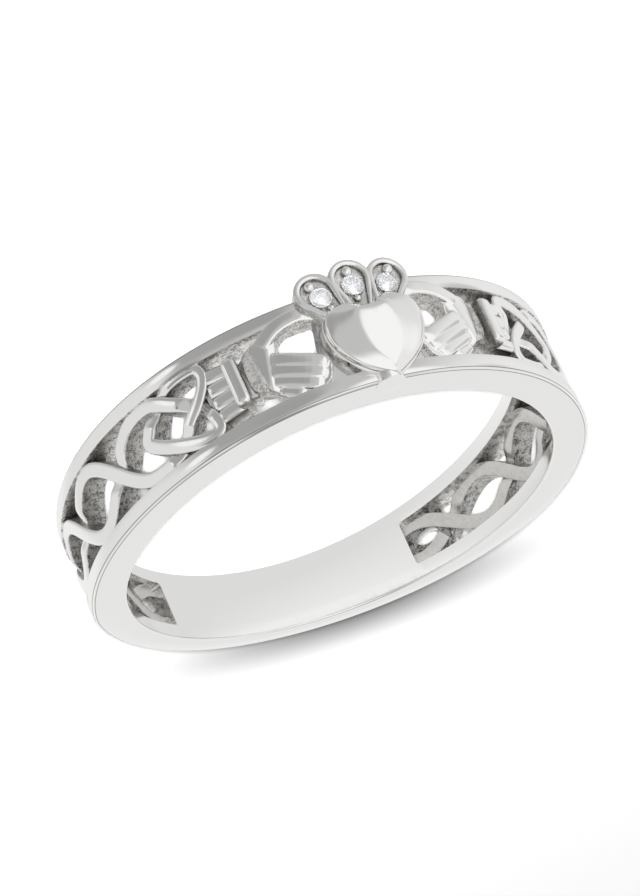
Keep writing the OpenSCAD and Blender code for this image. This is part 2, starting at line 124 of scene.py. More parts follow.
class BraidSizes(bpy.types.PropertyGroup):
    """Sizes of the braid and of the web at its end"""

    strand_w: FloatProperty(
        name="Strand width", description="Width of a strand", default=0.58 * MM, unit="LENGTH")
    strand_give: FloatProperty(
        name="Give", description="How far a strand gives way to the other at a crossing",
        default=0.2 * MM, unit="LENGTH")
    strand_inset: FloatProperty(
        name="Strand inset", description="How far the strands stay below the outside",
        default=0.03 * MM, unit="LENGTH")
    strand_recess: FloatProperty(
        name="Strand recess", description="How far the strands stay off the hole, as a share of the wall",
        default=0.23, subtype="FACTOR")
    crest_bite: FloatProperty(
        name="Crest bite", description="How deep a crest is sunk in the rail",
        default=0.06 * MM, unit="LENGTH")
    first_cross: FloatProperty(
        name="First crossing", description="Angle from the heart to the first plain crossing",
        default=math.radians(66.3), subtype="ANGLE")
    cross_step: FloatProperty(
        name="Crossing step", description="Angle between two crossings",
        default=math.radians(21.8), subtype="ANGLE")
    web_turn: FloatProperty(
        name="Web length", description="Length of the web at the window's end, as an angle",
        default=math.radians(10), subtype="ANGLE")
    web_t: FloatProperty(
        name="Web thickness", description="Thickness of the web", default=0.44 * MM, unit="LENGTH")
    eye_turn: FloatProperty(
        name="Eye length", description="Length of the eye in the web, as an angle",
        default=math.radians(6.6), subtype="ANGLE")
    eye_rise: FloatProperty(
        name="Eye half height", description="Half height of the eye", default=0.3 * MM, unit="LENGTH")


class ArmSizes(bpy.types.PropertyGroup):
    """Sizes of the sleeves, cuffs and hands"""

    cuff_turn: FloatProperty(
        name="Cuff place", description="Angle from the heart to the middle of a cuff",
        default=math.radians(30.7), subtype="ANGLE")
    cuff_w: FloatProperty(
        name="Cuff width", description="Width of a cuff", default=0.58 * MM, unit="LENGTH")
    cuff_len: FloatProperty(
        name="Cuff length", description="Length of a cuff across the band",
        default=2.06 * MM, unit="LENGTH")
    cuff_rise: FloatProperty(
        name="Cuff rise", description="How far a cuff stands above the band",
        default=0.3 * MM, unit="LENGTH")
    cuff_depth: FloatProperty(
        name="Cuff depth", description="Depth of a cuff", default=1.0 * MM, unit="LENGTH")
    rib_w: FloatProperty(
        name="Rib width", description="Width of a sleeve's rib", default=0.57 * MM, unit="LENGTH")
    rib_depth: FloatProperty(
        name="Rib depth", description="Depth of a rib", default=0.8 * MM, unit="LENGTH")
    rib_pitch: FloatProperty(
        name="Rib pitch", description="Distance between the middles of two ribs",
        default=0.56 * MM, unit="LENGTH")
    rib_count: IntProperty(name="Ribs", description="Ribs on a sleeve", default=4)
    rib_drop: FloatProperty(
        name="Rib drop", description="How far the ribs stay below the outside",
        default=0.06 * MM, unit="LENGTH")
    sleeve_turn: FloatProperty(
        name="Sleeve length", description="Angle of a sleeve beyond the middle of its cuff",
        default=math.radians(6.6), subtype="ANGLE")
    core_depth: FloatProperty(
        name="Core depth", description="Depth of the core under ribs and cuff",
        default=1.0 * MM, unit="LENGTH")
    core_drop: FloatProperty(
        name="Core drop", description="How far the core stays below the outside",
        default=0.25 * MM, unit="LENGTH")
    hand_turn: FloatProperty(
        name="Hand place", description="Angle from the heart to the middle of a hand",
        default=math.radians(20), subtype="ANGLE")
    hand_len: FloatProperty(
        name="Hand length", description="Length on which the hand's outline is drawn",
        default=3.1 * MM, unit="LENGTH")
    hand_depth: FloatProperty(
        name="Hand depth", description="Depth of a hand", default=0.75 * MM, unit="LENGTH")
    hand_drop: FloatProperty(
        name="Hand drop", description="How far the flat of a hand stays below the outside",
        default=0.12 * MM, unit="LENGTH")
    hand_rise: FloatProperty(
        name="Hand rise", description="How far knuckles and thumb stand above the outside",
        default=0.12 * MM, unit="LENGTH")
    finger_w: FloatProperty(
        name="Finger width", description="Width of a finger", default=0.55 * MM, unit="LENGTH")
    finger_depth: FloatProperty(
        name="Finger depth", description="Depth of a finger", default=0.62 * MM, unit="LENGTH")
    thumb_w: FloatProperty(
        name="Thumb width", description="Width of a thumb", default=0.58 * MM, unit="LENGTH")
    thumb_depth: FloatProperty(
        name="Thumb depth", description="Depth of a thumb", default=0.7 * MM, unit="LENGTH")
    skin_grain: FloatProperty(
        name="Skin grain", description="Size of the grid that melts a hand's forms into one",
        default=0.032 * MM, unit="LENGTH")


class HeartSizes(bpy.types.PropertyGroup):
    """Sizes of the heart, its toe and the ground behind it"""

    heart_w: FloatProperty(
        name="Width", description="Width of the heart", default=3.8 * MM, unit="LENGTH")
    heart_lean: FloatProperty(
        name="Lean", description="Turn of the heart about the line it faces along",
        default=math.radians(-1), subtype="ANGLE")
    heart_shift: FloatProperty(
        name="Shift", description="Shift of the heart along the band, positive to +X",
        default=-0.2 * MM, unit="LENGTH")
    heart_h: FloatProperty(
        name="Height", description="Height of the heart", default=3.3 * MM, unit="LENGTH")
    heart_rise: FloatProperty(
        name="Rise", description="Height of the heart's middle above the band",
        default=0.85 * MM, unit="LENGTH")
    heart_foot: FloatProperty(
        name="Foot", description="How far the foot stands out round the heart",
        default=0.07 * MM, unit="LENGTH")
    foot_rise: FloatProperty(
        name="Foot rise", description="Height of the foot above the band",
        default=0.1 * MM, unit="LENGTH")
    point_inset: FloatProperty(
        name="Point inset", description="Distance from the rim to the heart's point",
        default=0.09 * MM, unit="LENGTH")
    toe_r: FloatProperty(
        name="Toe radius", description="Radius of the toe under the point",
        default=0.6 * MM, unit="LENGTH")
    toe_out: FloatProperty(
        name="Toe out", description="How far the toe stands out of the rim",
        default=0.04 * MM, unit="LENGTH")
    ground_turn: FloatProperty(
        name="Ground", description="Angle from the heart to each end of the ground behind it",
        default=math.radians(10.2), subtype="ANGLE")
    ground_spread: FloatProperty(
        name="Ground spread", description="How much further the ground runs beside the near rail",
        default=math.radians(4.2), subtype="ANGLE")
    ground_drop: FloatProperty(
        name="Ground drop", description="How far the ground stays below the outside",
        default=0.3 * MM, unit="LENGTH")
    ground_inset: FloatProperty(
        name="Ground inset", description="How far the ground stays off the finger hole",
        default=0.25 * MM, unit="LENGTH")


class CrownSizes(bpy.types.PropertyGroup):
    """Sizes of the crown's petals and of their stones"""

    petal_w: FloatProperty(
        name="Petal width", description="Width of a petal", default=1.64 * MM, unit="LENGTH")
    petal_len: FloatProperty(
        name="Petal length", description="Distance between the middles of a petal's two ends",
        default=1.15 * MM, unit="LENGTH")
    petal_foot_w: FloatProperty(
        name="Foot width", description="Width of a petal's foot", default=0.84 * MM, unit="LENGTH")
    crown_h: FloatProperty(
        name="Crown height", description="Height of the middle petal's tip above the band's middle",
        default=3.05 * MM, unit="LENGTH")
    petal_drop: FloatProperty(
        name="Outer drop", description="How far the outer petals stay below the middle one",
        default=0.2 * MM, unit="LENGTH")
    petal_lean: FloatProperty(
        name="Lean", description="Lean of the outer petals",
        default=math.radians(24), subtype="ANGLE")
    petal_turn: FloatProperty(
        name="Outer place", description="Angle from the crown's middle to an outer petal",
        default=math.radians(8.1), subtype="ANGLE")
    petal_rim: FloatProperty(
        name="Rim width", description="Width of a petal's rim", default=0.25 * MM, unit="LENGTH")
    petal_rise: FloatProperty(
        name="Rise", description="How far the petals stand above the band",
        default=0.42 * MM, unit="LENGTH")
    petal_floor: FloatProperty(
        name="Floor", description="Depth of a petal's floor", default=0.2 * MM, unit="LENGTH")
    petal_depth: FloatProperty(
        name="Depth", description="Thickness of the crown", default=1.0 * MM, unit="LENGTH")
    stone_d: FloatProperty(
        name="Stone", description="Diameter of a stone", default=0.86 * MM, unit="LENGTH")
    stone_shift: FloatProperty(
        name="Stone shift", description="Distance from a petal's round middle to its stone",
        default=0.3 * MM, unit="LENGTH")
    girdle_drop: FloatProperty(
        name="Girdle drop", description="How far a girdle stays below the petal's rim",
        default=0.08 * MM, unit="LENGTH")
    stone_top_h: FloatProperty(
        name="Stone top", description="Height of a stone's upper part",
        default=0.14 * MM, unit="LENGTH")
    pavilion_h: FloatProperty(
        name="Stone bottom", description="Depth of a stone below its girdle",
        default=0.37 * MM, unit="LENGTH")
    table_w: FloatProperty(
        name="Table", description="Width of a stone's table", default=0.48 * MM, unit="LENGTH")
    seat_gap: FloatProperty(
        name="Seat gap", description="Gap between a stone and the metal",
        default=0.02 * MM, unit="LENGTH")
    bead_outer_r: FloatProperty(
        name="Outer bead", description="Radius of the bead at a stone's outer end",
        default=0.21 * MM, unit="LENGTH")
    bead_inner_r: FloatProperty(
        name="Inner bead", description="Radius of the bead at a stone's inner end",
        default=0.13 * MM, unit="LENGTH")


class SilverLooks(bpy.types.PropertyGroup):
    """Colours and finish of the metal and the stones"""

    polished: FloatVectorProperty(
        name="Polished", description="Colour of the polished silver",
        default=(0.93, 0.925, 0.91), subtype="COLOR", size=3, min=0, max=1)
    cast: FloatVectorProperty(
        name="Cast", description="Colour of the silver left as cast",
        default=(0.86, 0.85, 0.825), subtype="COLOR", size=3, min=0, max=1)
    # A fine dark line of painted shade along crisp edges, creases and the sides of bars
    painted_shade_line: FloatVectorProperty(
        name="Edge line", description="Colour of the fine line along the crisp edges",
        default=(0.13, 0.12, 0.085), subtype="COLOR", size=3, min=0, max=1)
    polish_rough: FloatProperty(
        name="Polish roughness", description="Roughness of the polished silver",
        default=0.09, subtype="FACTOR", min=0, max=1)
    cast_rough: FloatProperty(
        name="Cast roughness", description="Roughness of the silver left as cast",
        default=0.34, subtype="FACTOR", min=0, max=1)
    stone: FloatVectorProperty(
        name="Stone", description="Colour of the stones",
        default=(0.97, 0.98, 1.0), subtype="COLOR", size=3, min=0, max=1)


class StageLooks(bpy.types.PropertyGroup):
    """Camera, floor and light"""

    azimuth: FloatProperty(
        name="Azimuth", description="Where the camera stands round the ring, from -Y towards +X",
        default=math.radians(23.83), subtype="ANGLE")
    elevation: FloatProperty(
        name="Elevation", description="Height of the camera above the ring, as an angle",
        default=math.radians(31.26), subtype="ANGLE")
    roll: FloatProperty(
        name="Roll", description="Turn of the picture about the line of sight",
        default=math.radians(153.3), subtype="ANGLE")
    distance: FloatProperty(
        name="Distance", description="Distance of the camera from the point it looks at",
        default=275.72 * MM, unit="LENGTH")
    look_at: FloatVectorProperty(
        name="Look at", description="Point in the middle of the picture",
        default=(-0.206 * MM, -0.669 * MM, -0.876 * MM), subtype="TRANSLATION", size=3)
    lens: FloatProperty(
        name="Lens", description="Focal length of the camera", default=408.06, unit="CAMERA")
    floor: FloatVectorProperty(
        name="Floor", description="Colour of the floor",
        default=(0.93, 0.93, 0.93), subtype="COLOR", size=3, min=0, max=1)
    floor_size: FloatProperty(
        name="Floor size", description="Side of the floor", default=1.2, unit="LENGTH")
    # The shade is a soft shadow of the ring painted on the floor's colour
    shade_at: FloatVectorProperty(
        name="Shade place", description="Middle of the soft shade behind the ring",
        default=(-4.48 * MM, 13.06 * MM, -2.22 * MM), subtype="TRANSLATION", size=3)
    shade_size: FloatVectorProperty(
        name="Shade size", description="Reach of the shade each way",
        default=(3.64 * MM, 11.3 * MM), subtype="TRANSLATION", size=2)
    shade_turn: FloatProperty(
        name="Shade turn", description="Turn of the shade on the floor",
        default=math.radians(97.8), subtype="ANGLE")
    shade_left: FloatProperty(
        name="Shade light", description="Share of the light left in the middle of the shade",
        default=0.135, subtype="FACTOR", min=0, max=1)


# Places on the ring
class RingForm:
    """Where the surfaces of the band are. Turns are in degrees from the heart, positive to +X."""

    def __init__(self, scene):
        band = scene.ring_band
        self.inner_r = BORE["dims"]["r_mm"] * MM
        self.outer_r = self.inner_r + band.wall_front
        self.back_shift = band.back_shift
        self.back_out_r = self.inner_r + band.wall_back + band.back_shift
        self.widest_at = band.widest_at
        self.rail_w = band.rail_w
        run = self.inner_r + band.wall_back + band.widest_at
        fall = (band.band_w - band.back_w) / 2
        self.rim_r = (run * run + fall * fall) / (2 * fall)
        self.rim_z = self.rim_r - band.band_w / 2
        self.window_turn = math.degrees(band.window_turn)
        upright = Vector((0, 0, 1))
        self.at_rest = upright.rotation_difference(Vector(BORE["axis"])).to_matrix().to_4x4()

    def half_width(self, y):
        """Half the band's width where it is cut at y."""
        return math.sqrt(self.rim_r**2 - (y + self.widest_at) ** 2) - self.rim_z

    def outside(self, turn):
        """Distance of the band's outside from the axis."""
        angle = math.radians(turn)
        shifted = self.back_shift * math.cos(angle) + math.sqrt(
            self.back_out_r**2 - (self.back_shift * math.sin(angle)) ** 2)
        return min(self.outer_r, shifted)

    def wall(self, turn):
        """Thickness of the band."""
        return self.outside(turn) - self.inner_r

    def window_half(self, turn):
        """Half the window's height."""
        return self.half_width(-self.inner_r * math.cos(math.radians(turn))) - self.rail_w

    @staticmethod
    def point(turn, rise, distance):
        """The place with that turn, rise along the axis and distance from it."""
        angle = math.radians(turn)
        return Vector((distance * math.sin(angle), -distance * math.cos(angle), rise))

    @staticmethod
    def turn_of(point):
        """The turn at which a place lies."""
        return math.degrees(math.atan2(point.x, -point.y))

    @staticmethod
    def plate(turn, distance):
        """Places flat work on the band: X runs round it, Y up and Z outwards."""
        return (Matrix.Rotation(math.radians(turn), 4, "Z")
                @ Matrix.Rotation(math.radians(90), 4, "X")
                @ Matrix.Translation((0, 0, distance)))


def blend_rows(rows, parts):
    """Puts parts - 1 rows on a smooth line between each two rows of numbers."""
    smooth = []
    for i in range(len(rows) - 1):
        before = rows[max(i - 1, 0)]
        after = rows[min(i + 2, len(rows) - 1)]
        for k in range(parts):
            t = k / parts
            smooth.append(tuple(
                0.5 * (2 * b + (c - a) * t + (2 * a - 5 * b + 4 * c - d) * t**2
                       + (3 * b - a - 3 * c + d) * t**3)
                for a, b, c, d in zip(before, rows[i], rows[i + 1], after)))
    smooth.append(tuple(rows[-1]))
    return smooth


# How far plates run into the rails above and below them
RAIL_BITE = 0.1 * MM


def ease(low, high, value):
    """0 below low, 1 above high and smooth between them."""
    t = min(max((value - low) / (high - low), 0.0), 1.0)
    return t * t * (3 - 2 * t)


# Mesh work

# Parts of each rounded edge of a bar
EDGE_PARTS = 4
# Where points stand on the flat of its top, as shares of its half width
TOP_POINTS = (0.6, 0.2, -0.2, -0.6)


def soft_section(edge_across, edge_up, crown, low_edge):
    """Section of a bar from -1 to 1 each way: a crowned top with rounded edges.

    edge_across and edge_up are the round of the top edges as shares of the half width and the
    half depth, low_edge is the same for the bottom, and crown is how far the middle swells."""
    points = []
    corners = ((1, 1, edge_across, edge_up), (-1, 1, edge_across, edge_up),
               (-1, -1, low_edge, low_edge), (1, -1, low_edge, low_edge))
    for quarter, (side, level, across, up) in enumerate(corners):
        for k in range(EDGE_PARTS + 1):
            angle = math.radians(90 * (quarter + k / EDGE_PARTS))
            points.append([side * (1 - across) + across * math.cos(angle),
                           level * (1 - up) + up * math.sin(angle)])
        if quarter == 0:
            points += [[(1 - across) * share, 1.0] for share in TOP_POINTS]
    for point in points:
        if point[1] > 0:
            point[1] -= crown * point[0] ** 2 * point[1]
    return points


STRAND = soft_section(edge_across=0.34, edge_up=0.16, crown=0.06, low_edge=0.12)
SOFT = soft_section(edge_across=0.5, edge_up=0.3, crown=0.08, low_edge=0.15)
FLAT = soft_section(edge_across=0.42, edge_up=0.14, crown=0.07, low_edge=0.12)
# A point of a section further out than this is at the bar's side
SIDE = 0.99


def edges_of(verts):
    """The edges at these vertices, each of them once."""
    return list(dict.fromkeys(edge for vert in verts for edge in vert.link_edges))


def grow(bm, edges):
    """Extrudes a closed row of edges: gives back the vertices and the edges of the new row."""
    grown = bmesh.ops.extrude_edge_only(bm, edges=edges)["geom"]
    verts = [part for part in grown if isinstance(part, bmesh.types.BMVert)]
    new = set(verts)
    return verts, [part for part in grown if isinstance(part, bmesh.types.BMEdge)
                   and all(vert in new for vert in part.verts)]


def sweep(bm, ring, rows, section, line=0.0):
    """Extrudes a section through rows of turn, rise, distance of its top, width and depth.

    line is how dark a fine line of painted shade shows on both sides of the bar."""
    painted_shade_line = bm.verts.layers.float.get("painted_shade_line") or bm.verts.layers.float.new("painted_shade_line")
    upper_sides = {k for k, (across, up) in enumerate(section) if abs(across) > SIDE and up > 0}
    middles = [ring.point(turn, rise, top - depth / 2) for turn, rise, top, _, depth in rows]
    stations = []
    for i, (turn, _, _, width, depth) in enumerate(rows):
        ahead = middles[min(i + 1, len(rows) - 1)] - middles[max(i - 1, 0)]
        outward = ring.point(turn, 0, 1)
        side = ahead.cross(outward).normalized()
        along = outward.cross(side)
        station = Matrix.Identity(4)
        station.col[0].xyz = side * width / 2
        station.col[1].xyz = outward * depth / 2
        station.col[2].xyz = along * width / 2
        station.col[3].xyz = middles[i]
        stations.append(station)
    start = bmesh.ops.create_circle(bm, cap_ends=True, segments=len(section), radius=1)["verts"]
    for k, (vert, (across, up)) in enumerate(zip(start, section)):
        vert.co = stations[0] @ Vector((across, up, 0))
        vert[painted_shade_line] = line if k in upper_sides else 0.0
    edges = edges_of(start)
    for before, after in zip(stations, stations[1:]):
        verts, edges = grow(bm, edges)
        bmesh.ops.transform(bm, matrix=after @ before.inverted(), verts=verts)
    bmesh.ops.holes_fill(bm, edges=edges, sides=len(section))


def loft(bm, loops):
    """Closed form through loops of as many points each: every loop is extruded to the next.

    Gives back the vertices of each loop."""
    row = bmesh.ops.create_circle(bm, cap_ends=True, segments=len(loops[0]), radius=1)["verts"]
    for vert, point in zip(row, loops[0]):
        vert.co = point
    edges = edges_of(row)
    rows = [row]
    for points in loops[1:]:
        verts, edges = grow(bm, edges)
        new = set(verts)
        row = [next(edge.other_vert(vert) for edge in vert.link_edges
                    if edge.other_vert(vert) in new) for vert in row]
        for vert, point in zip(row, points):
            vert.co = point
        rows.append(row)
    bmesh.ops.holes_fill(bm, edges=edges, sides=len(row))
    return rows


def round_edges(bm, edges, offset, segments, clamp=True):
    """Bevels the edges and gives back the new ones."""
    return bmesh.ops.bevel(
        bm, geom=edges, offset=offset, offset_type="OFFSET", segments=segments, profile=0.5,
        affect="EDGES", material=-1, clamp_overlap=clamp)["edges"]


def melt(bm, grain, rounds):
    """Melts overlapping forms into one skin, as the metal runs in a mould, and softens it.

    The grain is finer than the Remesh modifier's slider goes, so the forms are enlarged for it."""
    bmesh.ops.recalc_face_normals(bm, faces=bm.faces)
    bmesh.ops.scale(bm, vec=(1 / MM,) * 3, verts=bm.verts)
    mould = bpy.data.meshes.new("mould")
    bm.to_mesh(mould)
    bm.free()
    cast = bpy.data.objects.new("mould", mould)
    bpy.context.collection.objects.link(cast)
    remesh = cast.modifiers.new("Skin", "REMESH")
    remesh.mode = "VOXEL"
    remesh.voxel_size = grain / MM
    soften = cast.modifiers.new("Soften", "SMOOTH")
    soften.iterations = rounds
    melted = bmesh.new()
    melted.from_object(cast, bpy.context.evaluated_depsgraph_get())
    bpy.data.objects.remove(cast)
    bpy.data.meshes.remove(mould)
    bmesh.ops.scale(melted, vec=(MM,) * 3, verts=melted.verts)
    return melted


# A polishing wheel reaches faces that look outwards down to WHEEL_DEPTH below the outside, fading
# out over WHEEL_FADE, and faces that look sideways as far as RIM_REACH from a rim
WHEEL_DEPTH = 0.45 * MM
WHEEL_FADE = 0.08 * MM
RIM_REACH = 0.2 * MM
# How straight a face looks outwards, inwards or sideways, as a cosine: where the polish starts
# and where it is full
OUTWARDS = (0.25, 0.7)
INWARDS = (0.4, 0.85)
SIDEWAYS = (0.3, 0.8)


def mark_polish(bm, ring, floor_r=None, bore_reach=0.05 * MM, bore_share=1.0):
    """Marks what a polishing wheel reaches: outward faces, the hole's wall and the rims.

    floor_r, where given, is the distance from the axis down to which the wheel reaches. Inward
    faces are polished within bore_reach of the hole's wall, by bore_share."""
    polish = bm.verts.layers.float.new("polish")
    bm.normal_update()
    for vert in bm.verts:
        turn = ring.turn_of(vert.co)
        distance = math.hypot(vert.co.x, vert.co.y)
        outward = vert.normal.dot(ring.point(turn, 0, 1))
        reach = ring.outside(turn) - WHEEL_DEPTH if floor_r is None else floor_r
        out = ease(*OUTWARDS, outward) * ease(reach - WHEEL_FADE, reach, distance)
        in_bore = distance < ring.inner_r + bore_reach
        bore = ease(*INWARDS, -outward) * in_bore * bore_share
        at_rim = abs(vert.co.z) > ring.half_width(vert.co.y) - RIM_REACH
        rim = ease(*SIDEWAYS, vert.normal.z * math.copysign(1, vert.co.z)) * at_rim
        vert[polish] = max(out, bore, rim)


def make_object(bm, name, material):
    """Makes an object of a bmesh and frees the bmesh."""
    mesh = bpy.data.meshes.new(name)
    bm.to_mesh(mesh)
    bm.free()
    mesh.materials.append(material)
    made = bpy.data.objects.new(name, mesh)
    bpy.context.collection.objects.link(made)
    return made


def finish_piece(bm, name, material, ring, sharp=40, slot="silver"):
    """Turns a bmesh into a piece at rest, shaded smooth.

    Edges whose faces turn by more than sharp degrees stay crisp, and all of them where it is 0."""
    bmesh.ops.transform(bm, matrix=ring.at_rest, verts=bm.verts)
    piece = make_object(bm, name, material)
    if sharp:
        piece.data.shade_smooth()
        piece.data.set_sharp_from_angle(angle=math.radians(sharp))
    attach(piece, "root")
    if slot == "silver":
        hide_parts(METAL)
    return piece


# Materials
def set_inputs(node, values):
    """Sets inputs of a node, given by name or number."""
    for socket, value in values.items():
        node.inputs[socket].default_value = value


def add_node(tree, kind, label, values=None, **settings):
    """Adds a node with its settings and with values for its inputs.

    The settings come first, because some of them change which inputs a node has."""
    node = tree.nodes.new(kind)
    node.label = label
    for key, value in settings.items():
        setattr(node, key, value)
    set_inputs(node, values or {})
    return node


def link(tree, *links):
    """Links nodes. Each link is a node, its output, the next node and that one's input."""
    for source, output, target, socket in links:
        tree.links.new(source.outputs[output], target.inputs[socket])


def tone(colour, share=1.0):
    """The colour at that share of its brightness, for a colour socket."""
    return (*[share * part for part in colour], 1)


def new_group(name, inputs, outputs):
    """Shader node group with named sockets. Inputs have a kind and a default, outputs a kind."""
    group = bpy.data.node_groups.new(name, "ShaderNodeTree")
    for label, kind, default in inputs:
        socket = group.interface.new_socket(label, in_out="INPUT", socket_type=kind)
        if default is not None:
            socket.default_value = default
    for label, kind in outputs:
        group.interface.new_socket(label, in_out="OUTPUT", socket_type=kind)
    start = add_node(group, "NodeGroupInput", "Inputs")
    end = add_node(group, "NodeGroupOutput", "Outputs")
    return group, start, end


def new_material(name, values):
    """Material, its node tree and its shader with values for the shader's inputs."""
    material = bpy.data.materials.new(name)
    material.use_nodes = True
    shader = material.node_tree.nodes["Principled BSDF"]
    set_inputs(shader, values)
    return material, material.node_tree, shader


def cast_skin_group():
    """Fine pits and soft lumps that a mould leaves on metal, with shade painted into the pits."""
    group, start, end = new_group(
        "Cast skin",
        [("Vector", "NodeSocketVector", None), ("Grain", "NodeSocketFloat", 15000.0)],
        [("Height", "NodeSocketFloat"), ("Shade", "NodeSocketFloat")])
    grain = add_node(group, "ShaderNodeTexNoise", "Grain", {"Detail": 4, "Roughness": 0.65})
    lump_scale = add_node(group, "ShaderNodeMath", "Lump scale", {1: 0.28}, operation="MULTIPLY")
    lumps = add_node(group, "ShaderNodeTexNoise", "Lumps", {"Detail": 2})
    height = add_node(group, "ShaderNodeMath", "Grain on lumps", {1: 1.6},
                      operation="MULTIPLY_ADD")
    shade = add_node(group, "ShaderNodeMapRange", "Shade of pits",
                     {"From Min": 1.08, "From Max": 1.4})
    link(group,
         (start, "Vector", grain, "Vector"), (start, "Grain", grain, "Scale"),
         (start, "Grain", lump_scale, 0), (lump_scale, 0, lumps, "Scale"),
         (start, "Vector", lumps, "Vector"), (grain, "Fac", height, 0),
         (lumps, "Fac", height, 2), (height, 0, shade, "Value"),
         (height, 0, end, "Height"), (shade, "Result", end, "Shade"))
    return group


def polish_group():
    """Faint waves and hairlines of a polished face."""
    group, start, end = new_group(
        "Hand polish",
        [("Vector", "NodeSocketVector", None), ("Waves", "NodeSocketFloat", 700.0),
         ("Hairlines", "NodeSocketFloat", 5200.0)],
        [("Height", "NodeSocketFloat"), ("Haze", "NodeSocketFloat")])
    waves = add_node(group, "ShaderNodeTexNoise", "Waves", {"Detail": 1})
    stretch = add_node(group, "ShaderNodeMapping", "Drawn out", {"Scale": (1, 1, 0.12)})
    lines = add_node(group, "ShaderNodeTexNoise", "Hairlines", {"Detail": 3})
    haze = add_node(group, "ShaderNodeMapRange", "Haze", {"From Min": 0.4, "From Max": 0.75})
    link(group,
         (start, "Vector", waves, "Vector"), (start, "Waves", waves, "Scale"),
         (start, "Vector", stretch, "Vector"), (stretch, "Vector", lines, "Vector"),
         (start, "Hairlines", lines, "Scale"), (lines, "Fac", haze, "Value"),
         (waves, "Fac", end, "Height"), (haze, "Result", end, "Haze"))
    return group


def shared_group(name, build):
    """The node group of that name, built when first asked for."""
    return bpy.data.node_groups.get(name) or build()


# Span of the polished silver's roughness, as shares of its named value
HAZE_SPAN = (0.8, 1.7)


def silver_material(name, looks, grain=15000.0, grain_depth=0.01 * MM, wave_depth=0.004 * MM,
                    painted_light_tone=1.0, pit_tone=0.42):
    """Silver that is polished where its piece's polish attribute is 1 and as cast where it is 0.

    The cast tone is how bright the cast silver is painted, as a share: darker copies stand in for pieces
    deep in shade and lighter ones for pieces that need more light, so it is painted light and shade.
    pit_tone is how bright its pits are, as a share, with shade painted into them."""
    material, tree, shader = new_material(name, {"Metallic": 1.0})
    place = add_node(tree, "ShaderNodeTexCoord", "Place on the ring")
    worked = add_node(tree, "ShaderNodeAttribute", "Polished faces", attribute_name="polish")
    cast = add_node(tree, "ShaderNodeGroup", "Cast skin", {"Grain": grain},
                    node_tree=shared_group("Cast skin", cast_skin_group))
    polish = add_node(tree, "ShaderNodeGroup", "Hand polish",
                      node_tree=shared_group("Hand polish", polish_group))
    rough_colour = add_node(
        tree, "ShaderNodeMix", "Cast colour",
        {"A": tone(looks.cast, painted_light_tone * pit_tone), "B": tone(looks.cast, painted_light_tone)},
        data_type="RGBA")
    colour = add_node(tree, "ShaderNodeMix", "Colour", {"B": tone(looks.polished)},
                      data_type="RGBA")
    # Fine dark lines, and faces with shade painted on them, from their vertex attribute
    lines = add_node(tree, "ShaderNodeAttribute", "Painted shade lines", attribute_name="painted_shade_line")
    lined = add_node(tree, "ShaderNodeMix", "With painted shade lines", {"B": tone(looks.painted_shade_line)},
                     data_type="RGBA")
    low, high = HAZE_SPAN
    hazy = add_node(tree, "ShaderNodeMapRange", "Polish roughness",
                    {"To Min": looks.polish_rough * low, "To Max": looks.polish_rough * high})
    rough = add_node(tree, "ShaderNodeMix", "Roughness", {"A": looks.cast_rough},
                     data_type="FLOAT")
    deep = add_node(tree, "ShaderNodeMath", "Depth of the grain", {1: grain_depth},
                    operation="MULTIPLY")
    wavy = add_node(tree, "ShaderNodeMath", "Depth of the waves", {1: wave_depth},
                    operation="MULTIPLY")
    height = add_node(tree, "ShaderNodeMix", "Height", data_type="FLOAT")
    bump = add_node(tree, "ShaderNodeBump", "Skin", {"Distance": 1.0})
    link(tree,
         (place, "Object", cast, "Vector"), (place, "Object", polish, "Vector"),
         (cast, "Shade", rough_colour, "Factor"), (rough_colour, "Result", colour, "A"),
         (worked, "Fac", colour, "Factor"), (colour, "Result", lined, "A"),
         (lines, "Fac", lined, "Factor"), (lined, "Result", shader, "Base Color"),
         (polish, "Haze", hazy, "Value"), (hazy, "Result", rough, "B"),
         (worked, "Fac", rough, "Factor"), (rough, "Result", shader, "Roughness"),
         (cast, "Height", deep, 0), (polish, "Height", wavy, 0),
         (deep, 0, height, "A"), (wavy, 0, height, "B"), (worked, "Fac", height, "Factor"),
         (height, "Result", bump, "Height"), (bump, "Normal", shader, "Normal"))
    return material


# How bright the stones' clouds and the paper's grain are where they are darkest, as shares
CLOUD_TONE = 0.8
GRAIN_TONE = 0.985


def stone_material(looks):
    """Clear cut stone with a faint tint that changes over it."""
    material, tree, shader = new_material(
        "Clear stone", {"Transmission Weight": 0.86, "IOR": 2.0, "Roughness": 0.0})
    place = add_node(tree, "ShaderNodeTexCoord", "Place in the stone")
    cloud = add_node(tree, "ShaderNodeTexNoise", "Fire", {"Scale": 2600})
    tint = add_node(tree, "ShaderNodeMix", "Tint",
                    {"A": tone(looks.stone, CLOUD_TONE), "B": tone(looks.stone)},
                    data_type="RGBA")
    link(tree,
         (place, "Object", cloud, "Vector"), (cloud, "Fac", tint, "Factor"),
         (tint, "Result", shader, "Base Color"))
    return material


